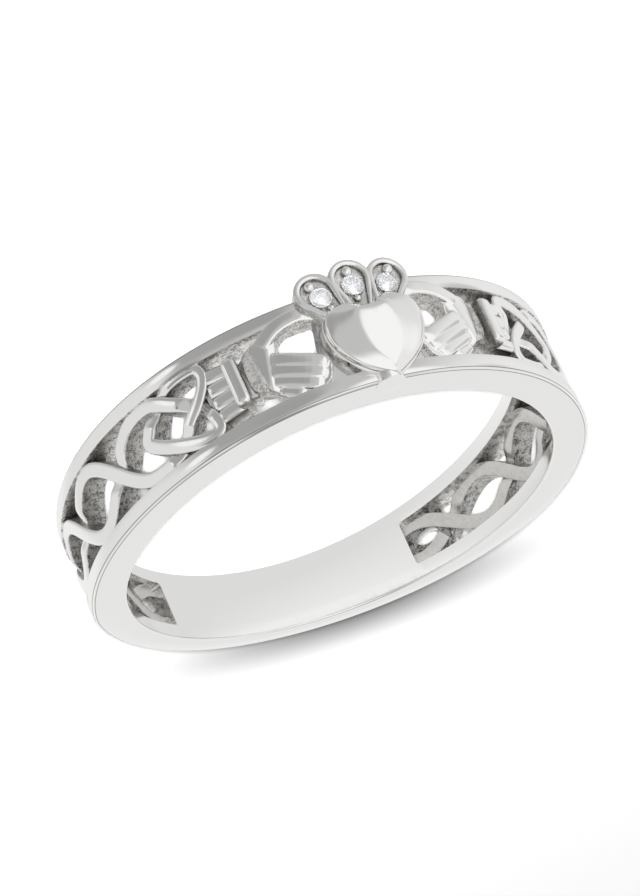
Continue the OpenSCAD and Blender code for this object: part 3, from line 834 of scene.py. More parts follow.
def floor_material(looks):
    """Matte white sheet with a barely seen grain and a soft shadow of the ring painted behind it."""
    material, tree, shader = new_material("White sheet", {"Roughness": 0.9})
    place = add_node(tree, "ShaderNodeTexCoord", "Place on the floor")
    grain = add_node(tree, "ShaderNodeTexNoise", "Grain", {"Scale": 900})
    paper = add_node(tree, "ShaderNodeMix", "Paper",
                     {"A": tone(looks.floor, GRAIN_TONE), "B": tone(looks.floor)},
                     data_type="RGBA")
    spot = add_node(
        tree, "ShaderNodeMapping", "Place of the shade",
        {"Location": looks.shade_at, "Rotation": (0, 0, looks.shade_turn),
         "Scale": (*looks.shade_size, 1)}, vector_type="TEXTURE")
    reach = add_node(tree, "ShaderNodeVectorMath", "Way from its middle", operation="LENGTH")
    edge = add_node(tree, "ShaderNodeMapRange", "Soft edge", interpolation_type="SMOOTHSTEP")
    shaded = add_node(tree, "ShaderNodeMix", "Shaded paper",
                      {"A": tone(looks.floor, looks.shade_left)}, data_type="RGBA")
    link(tree,
         (place, "Object", grain, "Vector"), (grain, "Fac", paper, "Factor"),
         (place, "Object", spot, "Vector"), (spot, "Vector", reach, 0),
         (reach, "Value", edge, "Value"), (edge, "Result", shaded, "Factor"),
         (paper, "Result", shaded, "B"), (shaded, "Result", shader, "Base Color"))
    return material


# Band
class RING_OT_band(bpy.types.Operator):
    """Builds the band: two rails round a pierced window, closed at the back"""

    bl_idname = "ring.band"
    bl_label = "Band"

    # The band starts as a square section that is spun round the axis and then wrapped to its
    # real form. Until then a distance of 1 is the hole and 2 the outside, and a rise of 1 or -1
    # is a rim, and of RAIL or -RAIL an edge of the window
    RAIL = 0.5
    # The middle of its wall
    MIDDLE = 1.5
    # Two measures of it nearer than NEAR are the same, and two points nearer than MERGE are one
    NEAR = 0.1
    MERGE = 1e-4
    # Kinds of edges. At a window's edge the faces turn by more than SHARP, in radians
    KINDS = ("plain", "corner", "window", "bore", "rim")
    SHARP = 1.0
    # A rim's chamfer gets its own edges rounded, by its width divided by CREASE_PART, where they
    # turn by more than CREASE, and a fine dark line of painted shade where they turn by more than LINE
    CREASE_PART = 3.5
    CREASE = math.radians(30)
    LINE = math.radians(17)

    def execute(self, context):
        ring = RingForm(context.scene)
        sizes = context.scene.ring_band
        bm = bmesh.new()
        self.blank(bm, ring, sizes.steps)
        edge_kind = self.sort_edges(bm, ring)
        self.wrap(bm, ring)
        # Corners of the window first, then its edges, the hole's edges and the outer edges
        for kind, offset, segments in (
                ("corner", sizes.window_corner, 5), ("window", sizes.window_round, 2),
                ("bore", sizes.bore_round, 4), ("rim", sizes.rim_chamfer, 1)):
            edges = [e for e in bm.edges if e[edge_kind] == self.KINDS.index(kind)]
            made = round_edges(bm, edges, offset, segments)
            if kind == "rim":
                creases = [e for e in made
                           if len(e.link_faces) == 2 and e.calc_face_angle() > self.CREASE]
                round_edges(bm, creases, offset / self.CREASE_PART, 2)
        mark_polish(bm, ring)
        self.mark_edges(bm, ring)
        # The band's cast silver is painted lighter, as painted light
        metal = silver_material("Band silver", context.scene.ring_silver, grain=11000.0,
                                grain_depth=0.02 * MM, painted_light_tone=1.13, pit_tone=0.34)
        finish_piece(bm, "band", metal, ring)
        return {"FINISHED"}

    def blank(self, bm, ring, steps):
        """Spins the square section and cuts the window through it."""
        rail = self.RAIL
        corners = [(1, -1), (1, -rail), (1, rail), (1, 1), (2, 1), (2, rail), (2, -rail), (2, -1)]
        section = bmesh.ops.create_circle(bm, segments=len(corners), radius=1)["verts"]
        for vert, (distance, rise) in zip(section, corners):
            vert.co = ring.point(0, rise, distance)
        bmesh.ops.spin(
            bm, geom=bm.verts[:] + bm.edges[:], cent=(0, 0, 0), axis=(0, 0, 1),
            angle=math.radians(360), steps=steps, use_merge=True)
        bmesh.ops.remove_doubles(bm, verts=bm.verts, dist=self.MERGE)

        def in_window(face):
            middle = face.calc_center_median()
            return abs(middle.z) < rail / 2 and abs(ring.turn_of(middle)) < ring.window_turn

        bmesh.ops.delete(bm, geom=[f for f in bm.faces if in_window(f)], context="FACES")
        bmesh.ops.bridge_loops(bm, edges=[e for e in bm.edges if e.is_boundary])
        bmesh.ops.recalc_face_normals(bm, faces=bm.faces)

    def sort_edges(self, bm, ring):
        """Writes on each edge of the blank which kind it is."""
        kind = bm.edges.layers.int.new("kind")
        for edge in bm.edges:
            a, b = edge.verts
            near, far = sorted(math.hypot(v.co.x, v.co.y) for v in edge.verts)
            low, high = sorted(abs(v.co.z) for v in edge.verts)
            through = near < self.MIDDLE < far
            at_end = abs(abs(ring.turn_of(a.co)) - ring.window_turn) < self.NEAR
            name = "plain"
            if low > 1 - self.NEAR and abs(a.co.z - b.co.z) < self.NEAR:
                if not through:
                    name = "rim" if near > self.MIDDLE else "bore"
            elif high < 1 - self.RAIL / 2 and edge.calc_face_angle() > self.SHARP:
                if not through:
                    name = "window"
                elif at_end:
                    name = "corner"
            edge[kind] = self.KINDS.index(name)
        return kind

    def wrap(self, bm, ring):
        """Brings the blank to the band's real form."""
        for vert in bm.verts:
            turn = ring.turn_of(vert.co)
            share = math.hypot(vert.co.x, vert.co.y) - 1
            distance = ring.inner_r + share * ring.wall(turn)
            y = -distance * math.cos(math.radians(turn))
            rise = ring.half_width(y)
            if abs(vert.co.z) < 1 - self.RAIL / 2:
                rise -= ring.rail_w
            vert.co = ring.point(turn, math.copysign(rise, vert.co.z), distance)

    def mark_edges(self, bm, ring):
        """Marks the crisp edges of the rims' chamfers, where a fine dark line of shade is painted."""
        line = bm.verts.layers.float.new("painted_shade_line")
        for edge in bm.edges:
            if len(edge.link_faces) == 2 and edge.calc_face_angle() > self.LINE:
                a, b = edge.verts
                outside = ring.outside(ring.turn_of(a.co))
                at_outside = math.hypot(a.co.x, a.co.y) > outside - RIM_REACH
                if at_outside and abs(a.co.z) > ring.half_width(a.co.y) - RIM_REACH:
                    a[line] = b[line] = 1.0


# Braids

# Turned end of the braid, where the strand crosses itself and turns back. Columns: turn in
# degrees from the first plain crossing, rise as a share of a crest, width as a share of the
# strand's, and crossing: 1 where it passes over, -1 where it passes under
KNOT = [
    (-11.0, -1.00, 1, 0), (-13.9, -1.00, 1, 0), (-16.3, -0.90, 1, 1), (-19.7, -0.60, 1, 0),
    (-23.2, -0.30, 0.95, 0), (-25.6, -0.07, 0.9, -1), (-27.1, 0.23, 0.85, 0),
    (-28.2, 0.57, 0.8, 0), (-28.5, 0.85, 0.85, 0), (-27.3, 1.00, 0.9, 0), (-25.1, 1.00, 1, 0),
    (-22.4, 0.91, 1, 0), (-19.3, 0.74, 1, 1), (-15.8, 0.49, 1, 0), (-12.8, 0.21, 1, 0),
    (-11.5, -0.02, 1, 0), (-12.6, -0.27, 1, 0), (-14.3, -0.57, 0.95, 0),
    (-16.3, -0.85, 0.9, -1), (-18.8, -1.03, 0.85, 0), (-22.5, -1.14, 0.8, 0),
    (-25.7, -1.16, 0.8, 0), (-28.2, -1.10, 0.75, 0), (-29.1, -0.82, 0.75, 0),
    (-28.3, -0.51, 0.75, 0), (-26.6, -0.22, 0.8, 0), (-25.1, -0.03, 0.85, 1),
    (-22.7, 0.22, 0.85, 0), (-20.8, 0.46, 0.9, 0), (-19.1, 0.66, 0.9, -1),
    (-16.7, 0.85, 1, 0), (-14.3, 0.99, 1, 0), (-11.0, 1.00, 1, 0)]


class RING_OT_braids(bpy.types.Operator):
    """Builds the braid on each side and the web with an eye at its end"""

    bl_idname = "ring.braids"
    bl_label = "Braids"

    # Rows to each row of the knot, and the part of a crossing step between two rows of the twist
    KNOT_PARTS = 6
    TWIST_STEP = 1 / 36
    # The twist starts this share of a step before its first crossing, and runs on into the
    # closed back by so many degrees
    LEAD = 0.4
    BACK_BITE = 2
    # A strand gives way within these lengths from a crossing, as shares of its width
    FULL_GIVE = 0.45
    NO_GIVE = 1.5
    # How dark the fine line of painted shade beside a strand is, and how dark the shade painted on its
    # inner faces is
    BESIDE = 0.2
    INSIDE_SHADE = 0.28
    # Polish of the strands' inner faces: how far from the hole's wall, and how much
    INSIDE_REACH = 0.5 * MM
    INSIDE_SHARE = 0.8
    # How straight a strand's face looks to the hole, as a cosine, where its painted shade starts and
    # where it is full
    INSIDE_FACE = (0.5, 0.8)
    # Points round the eye, how its curve is drawn out to an almond, and how many degrees the web
    # runs into the closed back
    EYE_POINTS = 48
    ALMOND = 0.3
    WEB_BITE = 1

    def path(self, ring, sizes):
        """Rows of the whole strand: turn, rise, width and crossing, from one end to the other."""
        first = math.degrees(sizes.first_cross)
        pitch = math.degrees(sizes.cross_step)
        knot = [(first + row[0], *row[1:]) for row in blend_rows(KNOT, self.KNOT_PARTS)]
        # Only the rows of the table are crossings, not those blended between them
        for k, row in enumerate(knot):
            if k % self.KNOT_PARTS:
                knot[k] = (*row[:3], 0)
        ends = []
        for side in (1, -1):
            end = (ring.window_turn + self.BACK_BITE - first) / pitch
            count = round((end + self.LEAD) / self.TWIST_STEP)
            rows = []
            for k in range(count + 1):
                step = -self.LEAD + k * self.TWIST_STEP
                crossing = round(step)
                over = (-1 if crossing % 2 == 0 else 1) * side
                at_crossing = abs(step - crossing) < self.TWIST_STEP / 2
                rows.append((first + step * pitch, side * math.sin(math.pi * step), 1,
                             over if at_crossing else 0))
            ends.append(rows)
        return ends[0][::-1] + knot + ends[1]

    def strand(self, ring, sizes):
        """Rows for the sweep: the strand thins and dips where it crosses itself."""
        path = self.path(ring, sizes)
        places, length = [], 0.0
        for k, (turn, rise, _, _) in enumerate(path):
            crest = ring.window_half(turn) - sizes.strand_w / 2 + sizes.crest_bite
            place = ring.point(turn, rise * crest, ring.outer_r)
            length += (place - places[-1][0]).length if places else 0
            places.append((place, length, rise * crest))
        crossings = [(places[k][1], row[3]) for k, row in enumerate(path) if row[3]]
        rows = []
        for (turn, _, width, _), (_, at, rise) in zip(path, places):
            nearest, over = min(crossings, key=lambda crossing: abs(crossing[0] - at))
            give = 1 - ease(self.FULL_GIVE * sizes.strand_w, self.NO_GIVE * sizes.strand_w,
                            abs(nearest - at))
            top = ring.outside(turn) - sizes.strand_inset
            room = top - ring.inner_r - sizes.strand_recess * ring.wall(turn)
            cut = sizes.strand_give * give
            rows.append((turn, rise, top - (cut if over < 0 else 0), width * sizes.strand_w,
                         room - cut))
        return rows

    def web(self, bm, ring, sizes):
        """Plate at the window's end with an almond eye through it."""
        half_turn = math.degrees(sizes.web_turn) / 2
        middle = ring.window_turn - half_turn
        reach = ring.window_half(middle) + RAIL_BITE
        distance = ring.inner_r + (ring.wall(middle) + sizes.web_t) / 2
        eye, plate = [], []
        for k in range(self.EYE_POINTS):
            angle = 2 * math.pi * k / self.EYE_POINTS
            across, up = math.cos(angle), math.sin(angle)
            eye.append((math.degrees(sizes.eye_turn) / 2 * across,
                        sizes.eye_rise * up * abs(up) ** self.ALMOND))
            size = max(abs(across), abs(up))
            plate.append(((half_turn + self.WEB_BITE) * across / size, reach * up / size))
        loops = []
        for outline in (eye, plate):
            verts = bmesh.ops.create_circle(bm, segments=len(outline), radius=1)["verts"]
            for vert, (turn, rise) in zip(verts, outline):
                vert.co = ring.point(middle + turn, rise, distance)
            loops += edges_of(verts)
        bmesh.ops.bridge_loops(bm, edges=loops)
        grown = bmesh.ops.extrude_face_region(bm, geom=bm.faces[:])["geom"]
        for vert in grown:
            if isinstance(vert, bmesh.types.BMVert):
                turn = ring.turn_of(vert.co)
                vert.co = ring.point(turn, vert.co.z, distance - sizes.web_t)

    def paint_shade_inside(self, bm, ring):
        """Paints shade on the strands' faces towards the finger hole."""
        line = bm.verts.layers.float["painted_shade_line"]
        for vert in bm.verts:
            inward = -vert.normal.dot(ring.point(ring.turn_of(vert.co), 0, 1))
            vert[line] = max(vert[line], self.INSIDE_SHADE * ease(*self.INSIDE_FACE, inward))

    def execute(self, context):
        ring = RingForm(context.scene)
        sizes = context.scene.ring_braid
        looks = context.scene.ring_silver
        # The braid's cast faces are painted darker, as painted shade between the rails, and the web much
        # darker, as painted shade deep at the window's end
        strand = silver_material("Braid silver", looks, grain_depth=0.016 * MM,
                                 painted_light_tone=0.8, pit_tone=0.22)
        rough = silver_material("Web silver", looks, grain=12000.0, grain_depth=0.03 * MM,
                                painted_light_tone=0.55, pit_tone=0.18)
        rows = self.strand(ring, sizes)
        for name, half_turn in (("left", 0), ("right", math.pi)):
            about = Matrix.Rotation(half_turn, 4, "Y")
            braid = bmesh.new()
            sweep(braid, ring, rows, STRAND, line=self.BESIDE)
            web = bmesh.new()
            self.web(web, ring, sizes)
            for bm, part, material in ((braid, "braid", strand), (web, "end_web", rough)):
                bmesh.ops.transform(bm, matrix=about, verts=bm.verts)
                bmesh.ops.recalc_face_normals(bm, faces=bm.faces)
                if part == "braid":
                    mark_polish(bm, ring, bore_reach=self.INSIDE_REACH,
                                bore_share=self.INSIDE_SHARE)
                    self.paint_shade_inside(bm, ring)
                else:
                    mark_polish(bm, ring, bore_reach=0)
                finish_piece(bm, f"{part}_{name}", material, ring)
        return {"FINISHED"}


# Arms

# Ribs of a sleeve. Columns: way along the sleeve, spread of the ribs, size of a rib
RIB = [(0.05, 0.94, 0.9), (0.3, 0.96, 1), (0.78, 1.02, 1), (0.95, 1.05, 0.94), (1.0, 1.06, 0.8)]
# A cuff from its middle to an end. Columns: share of its half length, size of its section,
# how far its top falls as a share of its depth
CUFF = [(0, 1, 0), (0.5, 1, 0), (0.8, 0.98, 0.01), (0.9, 0.86, 0.05), (0.96, 0.7, 0.11),
        (1, 0.46, 0.24)]
# Outline of a hand from the wrist over the thumb and back by the fingers. Columns: along, as
# a share of the hand's length, away from the heart; across, as a share of the window's half
# height, towards the fingers
HAND = [
    (0.45, -0.52), (0.23, -0.72), (-0.04, -0.97), (-0.28, -1.05), (-0.51, -1.05),
    (-0.55, -0.79), (-0.45, -0.77), (-0.27, -0.83), (-0.13, -0.77), (-0.03, -0.64),
    (0.01, -0.45), (-0.03, -0.22), (-0.13, -0.06), (-0.30, 0.13), (-0.52, 0.36),
    (-0.51, 0.65), (-0.42, 0.94), (-0.17, 1.05), (0.06, 1.00), (0.2, 0.62), (0.45, 0.36)]
# Back of the hand. Columns: degrees from the hand's middle, across and width as shares of the
# window's height, how far the top falls as a share of the depth
HAND_BACK = [
    (8.8, -0.05, 0.42, 0.62), (7.4, -0.06, 0.46, 0.4), (5.6, -0.07, 0.54, 0.12),
    (4.4, -0.07, 0.62, 0.05), (2.6, -0.05, 0.74, 0.09), (1.2, -0.03, 0.8, 0.3)]
# Fingers. Columns: knuckle and its height, tip and its height, in degrees from the hand's
# middle and as shares of the window's half height, and how far the finger falls, as a share of
# its depth
FINGERS = [(2.6, -0.16, -9.2, 0.45, 0), (3.6, 0.08, -8.2, 0.70, 0.05),
           (3.9, 0.32, -6.5, 0.92, 0.13), (2.8, 0.6, -2.0, 0.98, 0.26)]
# One finger. Columns: way from knuckle to tip, size, how far the top falls
FINGER = [(0, 0.8, 0.25), (0.12, 1, 0.02), (0.5, 1, 0), (0.9, 0.95, 0.04), (1, 0.6, 0.3)]
# Thumb. Columns: degrees from the hand's middle, across as a share of the window's half
# height, how far the top falls
THUMB = [(4.4, -0.5, 0.2), (3.0, -0.6, 0.03), (-0.5, -0.86, 0), (-4.0, -0.98, 0),
         (-7.5, -1.0, 0), (-10.2, -0.9, 0.1)]


class RING_OT_arms(bpy.types.Operator):
    """Builds sleeve, cuff and hand, once for +X and mirrored for the other side"""

    bl_idname = "ring.arms"
    bl_label = "Sleeves, cuffs and hands"

    # The core's width as a share of the ribs', and how many degrees it starts before the cuff's
    # middle and ends behind the sleeve
    CORE_SHARE = 0.65
    CORE_BEFORE = 3
    CORE_BEHIND = 1
    # How dark the fine lines of painted shade beside the ribs and the cuff are
    RIB_LINE = 0.9
    CUFF_LINE = 0.6
    # Rounds of softening for a hand
    SOFTENING = 4
    # Where the wrist's rough skin starts and where it is full, in degrees from the hand's
    # middle, and how much of the polish it takes
    WRIST = (4.2, 6.4)
    WRIST_ROUGH = 0.8

    def sleeve(self, ring, sizes):
        """Ribs side by side on a core that runs on under the cuff."""
        cuff_turn = math.degrees(sizes.cuff_turn)
        length = math.degrees(sizes.sleeve_turn)
        bm = bmesh.new()
        core_w = self.CORE_SHARE * sizes.rib_count * sizes.rib_pitch
        top = ring.outer_r - sizes.core_drop
        core = (cuff_turn - self.CORE_BEFORE, cuff_turn, cuff_turn + length + self.CORE_BEHIND)
        sweep(bm, ring, [(turn, 0, top, core_w, sizes.core_depth) for turn in core], SOFT)
        top = ring.outer_r - sizes.rib_drop
        for i in range(sizes.rib_count):
            rise = (i - (sizes.rib_count - 1) / 2) * sizes.rib_pitch
            sweep(bm, ring, [
                (cuff_turn + way * length, spread * rise, top - (1 - size) * sizes.rib_depth / 2,
                 size * sizes.rib_w, size * sizes.rib_depth)
                for way, spread, size in blend_rows(RIB, parts=5)], SOFT, line=self.RIB_LINE)
        return bm

    def cuff(self, ring, sizes):
        """Bar across the band between the sleeve and the hand."""
        bm = bmesh.new()
        half = blend_rows(CUFF, parts=4)
        both = [(-at, size, low) for at, size, low in half[:0:-1]] + half
        sweep(bm, ring, [
            (math.degrees(sizes.cuff_turn), at * sizes.cuff_len / 2,
             ring.outer_r + sizes.cuff_rise - low * sizes.cuff_depth, size * sizes.cuff_w,
             sizes.cuff_depth) for at, size, low in both], SOFT, line=self.CUFF_LINE)
        return bm

    def hand(self, ring, sizes):
        """Palm, back, fingers and thumb, melted into one skin."""
        hand_turn = math.degrees(sizes.hand_turn)
        half = ring.window_half(hand_turn)
        bm = bmesh.new()
        place = ring.plate(hand_turn, ring.outer_r - sizes.hand_drop)
        outline = blend_rows(HAND + HAND[:1], parts=4)[:-1]
        loft(bm, [[place @ Vector((along * sizes.hand_len, across * half, -depth))
                   for along, across in outline] for depth in (sizes.hand_depth, 0)])
        depth = sizes.finger_depth
        top = ring.outer_r + sizes.hand_rise
        back = []
        for turn, across, width, low in blend_rows(HAND_BACK, parts=4):
            window = ring.window_half(hand_turn + turn)
            back.append((hand_turn + turn, 2 * across * window, top - low * depth,
                         2 * width * window, depth))
        sweep(bm, ring, back, FLAT)
        for knuckle, knuckle_rise, tip, tip_rise, fall in FINGERS:
            sweep(bm, ring, [
                (hand_turn + knuckle + (tip - knuckle) * way,
                 half * (knuckle_rise + (tip_rise - knuckle_rise) * way),
                 top - (low + fall) * depth, size * sizes.finger_w, depth)
                for way, size, low in blend_rows(FINGER, parts=4)], FLAT)
        sweep(bm, ring, [
            (hand_turn + turn, across * ring.window_half(hand_turn + turn),
             top - low * sizes.thumb_depth, sizes.thumb_w, sizes.thumb_depth)
            for turn, across, low in blend_rows(THUMB, parts=4)], FLAT)
        return melt(bm, sizes.skin_grain, self.SOFTENING)

    def roughen_wrist(self, bm, ring, hand_turn):
        """Takes the polish off the wrist, which lies deep between the hand and the cuff."""
        polish = bm.verts.layers.float["polish"]
        for vert in bm.verts:
            turn = abs(ring.turn_of(vert.co)) - hand_turn
            vert[polish] *= 1 - self.WRIST_ROUGH * ease(*self.WRIST, turn)

    def execute(self, context):
        ring = RingForm(context.scene)
        sizes = context.scene.ring_arms
        looks = context.scene.ring_silver
        materials = {
            "sleeve": silver_material("Sleeve silver", looks),
            "cuff": silver_material("Cuff silver", looks),
            # The hand's cast silver is painted lighter, as painted light
            "hand": silver_material("Hand silver", looks, grain_depth=0.03 * MM, painted_light_tone=1.13)}
        for name, build in (("sleeve", self.sleeve), ("cuff", self.cuff), ("hand", self.hand)):
            left = build(ring, sizes)
            right = left.copy()
            bmesh.ops.scale(right, vec=(-1, 1, 1), verts=right.verts)
            for side, bm in (("left", left), ("right", right)):
                bmesh.ops.recalc_face_normals(bm, faces=bm.faces)
                mark_polish(bm, ring)
                if name == "hand":
                    self.roughen_wrist(bm, ring, math.degrees(sizes.hand_turn))
                finish_piece(bm, f"{name}_{side}", materials[name], ring, sharp=50)
        return {"FINISHED"}


# Heart

# Half of the heart's outline from the point round a lobe to the cleft. Columns: across as a
# share of the half width, up from the point as a share of the height, the same on the flat top,
# where the cleft has run out
HEART = [(0, 0, 0), (0.24, 0.07, 0.07), (0.53, 0.18, 0.18), (0.73, 0.29, 0.29),
         (0.88, 0.42, 0.42), (0.965, 0.55, 0.55), (1, 0.68, 0.68), (0.96, 0.82, 0.81),
         (0.84, 0.93, 0.88), (0.6, 1.0, 0.9), (0.36, 0.995, 0.9), (0.145, 0.94, 0.895),
         (0, 0.85, 0.89)]
# Foot of the heart. Columns: step in as a share of the heart's size, fall in millimetres
FOOT = [(0, 0.03), (0.008, 0.005), (0.02, 0)]
# Dome of the heart. Columns: way from the outline to the wedge on top, way from the wedge to its
# middle, rise as a share of the heart's
DOME = [(0, 0, 0.16), (0.0, 0, 0.36), (0.02, 0, 0.45), (0.08, 0, 0.53), (0.2, 0, 0.6),
        (0.45, 0, 0.71), (0.75, 0, 0.84), (0.93, 0.01, 0.915), (1, 0.1, 0.95), (1, 0.35, 0.975),
        (1, 0.65, 0.99), (1, 0.95, 1.0)]


class RING_OT_heart(bpy.types.Operator):
    """Builds the domed heart, its toe on the rail and the ground behind it"""

    bl_idname = "ring.heart"
    bl_label = "Heart"

    # The wedge on the heart's top: its share of the width, and its middle and its share of the
    # height
    WEDGE_SHARE = 0.36
    WEDGE_MID = 0.6
    WEDGE_SPAN = 0.86
    # How fast the cleft runs out on the way to the wedge, and how much shorter the wedge is
    # along its middle line
    CLEFT_END = 1.5
    WEDGE_SHORTER = 0.8
    # How far the top falls towards the point, as a share of the rise, from which share of the
    # height on, and how curved the fall is
    POINT_FALL = 0.5
    FALL_FROM = 0.85
    FALL_CURVE = 1.2
    # How dark the fine line of painted shade round the dome's foot is
    FOOT_LINE = 0.85
    # The toe's edge is rounded so much
    TOE_ROUND = 0.03 * MM
    # The ground spreads beside the near rail from this share of its half width on
    SPREAD_FROM = 0.3
    GROUND_STEPS = 24

    def heart(self, ring, sizes):
        """The heart with its foot, from the ground up to the wedge on its top."""
        half = blend_rows(HEART, parts=5)
        outline = half + [(-across, up, flat) for across, up, flat in half[-2:0:-1]]
        point_z = ring.half_width(-ring.outer_r) - sizes.point_inset
        foot = 1 + 2 * sizes.heart_foot / sizes.heart_w
        lean = Matrix.Rotation(sizes.heart_lean, 2)

        def loop(size, wedge, middle, distance, rise=0.0):
            points = []
            for across, up, flat in outline:
                up += (flat - up) * min(1, self.CLEFT_END * wedge)
                wedge_x = self.WEDGE_SHARE * across
                wedge_y = self.WEDGE_MID + (up - self.WEDGE_MID) * self.WEDGE_SPAN
                x = (across + (wedge_x - across) * wedge) * (1 - middle) * size
                y = up + (wedge_y - up) * wedge
                y = self.WEDGE_MID + (y - self.WEDGE_MID) * (1 - self.WEDGE_SHORTER * middle) * size
                fall = self.POINT_FALL * rise * max(0.0, 1 - y / self.FALL_FROM) ** self.FALL_CURVE
                flat_place = lean @ Vector((x * sizes.heart_w / 2, y * sizes.heart_h))
                points.append(Vector((flat_place.x + sizes.heart_shift, fall - distance,
                                      point_z - flat_place.y)))
            return points

        loops = [loop(foot, 0, 0, ring.inner_r + sizes.ground_inset)]
        top = ring.outer_r + sizes.foot_rise
        for step_in, low in FOOT:
            loops.append(loop(foot - step_in, 0, 0, top - low * MM))
        dome_start = len(loops)
        wall = DOME[0][2] * sizes.heart_rise
        for wedge, middle, share in blend_rows(DOME, parts=4):
            rise = share * sizes.heart_rise
            loops.append(loop(1, wedge, middle, ring.outer_r + rise, rise - wall))
        bm = bmesh.new()
        line = bm.verts.layers.float.new("painted_shade_line")
        rows = loft(bm, loops)
        for vert in rows[dome_start]:
            vert[line] = self.FOOT_LINE
        return bm

    def toe(self, ring, sizes):
        """Round lobe under the heart's point, lapped on the near rail and half sunk in it."""
        bm = bmesh.new()
        base = ring.window_half(0)
        height = ring.half_width(-ring.outer_r) + sizes.toe_out - base
        made = bmesh.ops.create_cone(
            bm, cap_ends=True, segments=64, radius1=sizes.toe_r, radius2=sizes.toe_r, depth=height)
        bmesh.ops.translate(
            bm, vec=(0, -(ring.outer_r - sizes.toe_r / 2), base + height / 2), verts=made["verts"])
        top = [e for e in bm.edges if min(v.co.z for v in e.verts) > base + height / 2]
        round_edges(bm, top, self.TOE_ROUND, 3, clamp=False)
        return bm

    def ground(self, ring, sizes):
        """Plate behind the heart, curved with the band."""
        bm = bmesh.new()
        reach = ring.window_half(0) + RAIL_BITE
        knee = self.SPREAD_FROM * reach
        inner = ring.inner_r + sizes.ground_inset
        outer = ring.outer_r - sizes.ground_drop
        end = math.degrees(sizes.ground_turn)
        corners = [(inner, -reach), (outer, -reach), (outer, knee), (outer, reach),
                   (inner, reach), (inner, knee)]
        verts = bmesh.ops.create_circle(bm, cap_ends=True, segments=len(corners), radius=1)["verts"]
        for vert, (distance, rise) in zip(verts, corners):
            vert.co = ring.point(-end, rise, distance)
        bmesh.ops.spin(bm, geom=bm.verts[:] + bm.edges[:] + bm.faces[:], cent=(0, 0, 0),
                       axis=(0, 0, 1), angle=math.radians(2 * end), steps=self.GROUND_STEPS)
        spread = 1 + math.degrees(sizes.ground_spread) / end
        for vert in bm.verts:
            if vert.co.z > (knee + reach) / 2:
                distance = math.hypot(vert.co.x, vert.co.y)
                vert.co = ring.point(spread * ring.turn_of(vert.co), vert.co.z, distance)
        return bm

    def execute(self, context):
        ring = RingForm(context.scene)
        sizes = context.scene.ring_heart
        looks = context.scene.ring_silver
        bright = silver_material("Heart silver", looks, wave_depth=0.003 * MM)
        # The ground's cast silver is painted lighter, as painted light on a face that lies dark
        rough = silver_material("Ground silver", looks, grain=11000.0, grain_depth=0.035 * MM,
                                painted_light_tone=1.15, pit_tone=0.22)
        for name, build, material in (("heart", self.heart, bright), ("toe", self.toe, bright),
                                      ("ground", self.ground, rough)):
            bm = build(ring, sizes)
            bmesh.ops.recalc_face_normals(bm, faces=bm.faces)
            mark_polish(bm, ring)
            if name == "heart":
                # The heart is polished all over where it stands above the band
                polish = bm.verts.layers.float["polish"]
                for vert in bm.verts:
                    if -vert.co.y > ring.outer_r:
                        vert[polish] = 1.0
            finish_piece(bm, name, material, ring, sharp=35)
        return {"FINISHED"}


# Crown

# Section of a petal from its side over the rim to the floor. Columns: step in from the outline as
# a share of the rim's width, fall below the rim's top as a share of the floor's depth, flare of
# the foot outwards in millimetres
PETAL_RIM = [
    (0.0, 1.8, 0.2), (0.0, 0.93, 0.16), (0.02, 0.84, 0.1), (0.02, 0.5, 0.02), (0.05, 0.26, 0),
    (0.12, 0.1, 0), (0.22, 0.03, 0), (0.36, 0.0, 0), (0.62, 0.0, 0), (0.78, 0.03, 0),
    (0.9, 0.12, 0), (0.97, 0.26, 0), (1.0, 0.45, 0), (1.0, 0.95, 0), (1.08, 1.0, 0),
    (1.2, 1.0, 0)]
# Flare of the foot at the petal's back
BACK_FLARE = 0.26 * MM
# How dark the fine line of painted shade is on a petal's loops, counted from 0 at its back
PETAL_LINE = {3: 0.5, 14: 0.8, 15: 0.6}
# Petals and stones by the photo's sides. "Left" is towards +X
SIDES = (("left", 1), ("middle", 0), ("right", -1))


def petal_place(ring, sizes, side):
    """Matrix that places a petal: its round tip's middle is the origin, and Z looks outwards."""
    lift = sizes.petal_w / 2 - sizes.crown_h + (sizes.petal_drop if side else 0)
    return (ring.plate(side * math.degrees(sizes.petal_turn), ring.outer_r + sizes.petal_rise)
            @ Matrix.Translation((0, lift, 0))
            @ Matrix.Rotation(side * sizes.petal_lean, 4, "Z"))


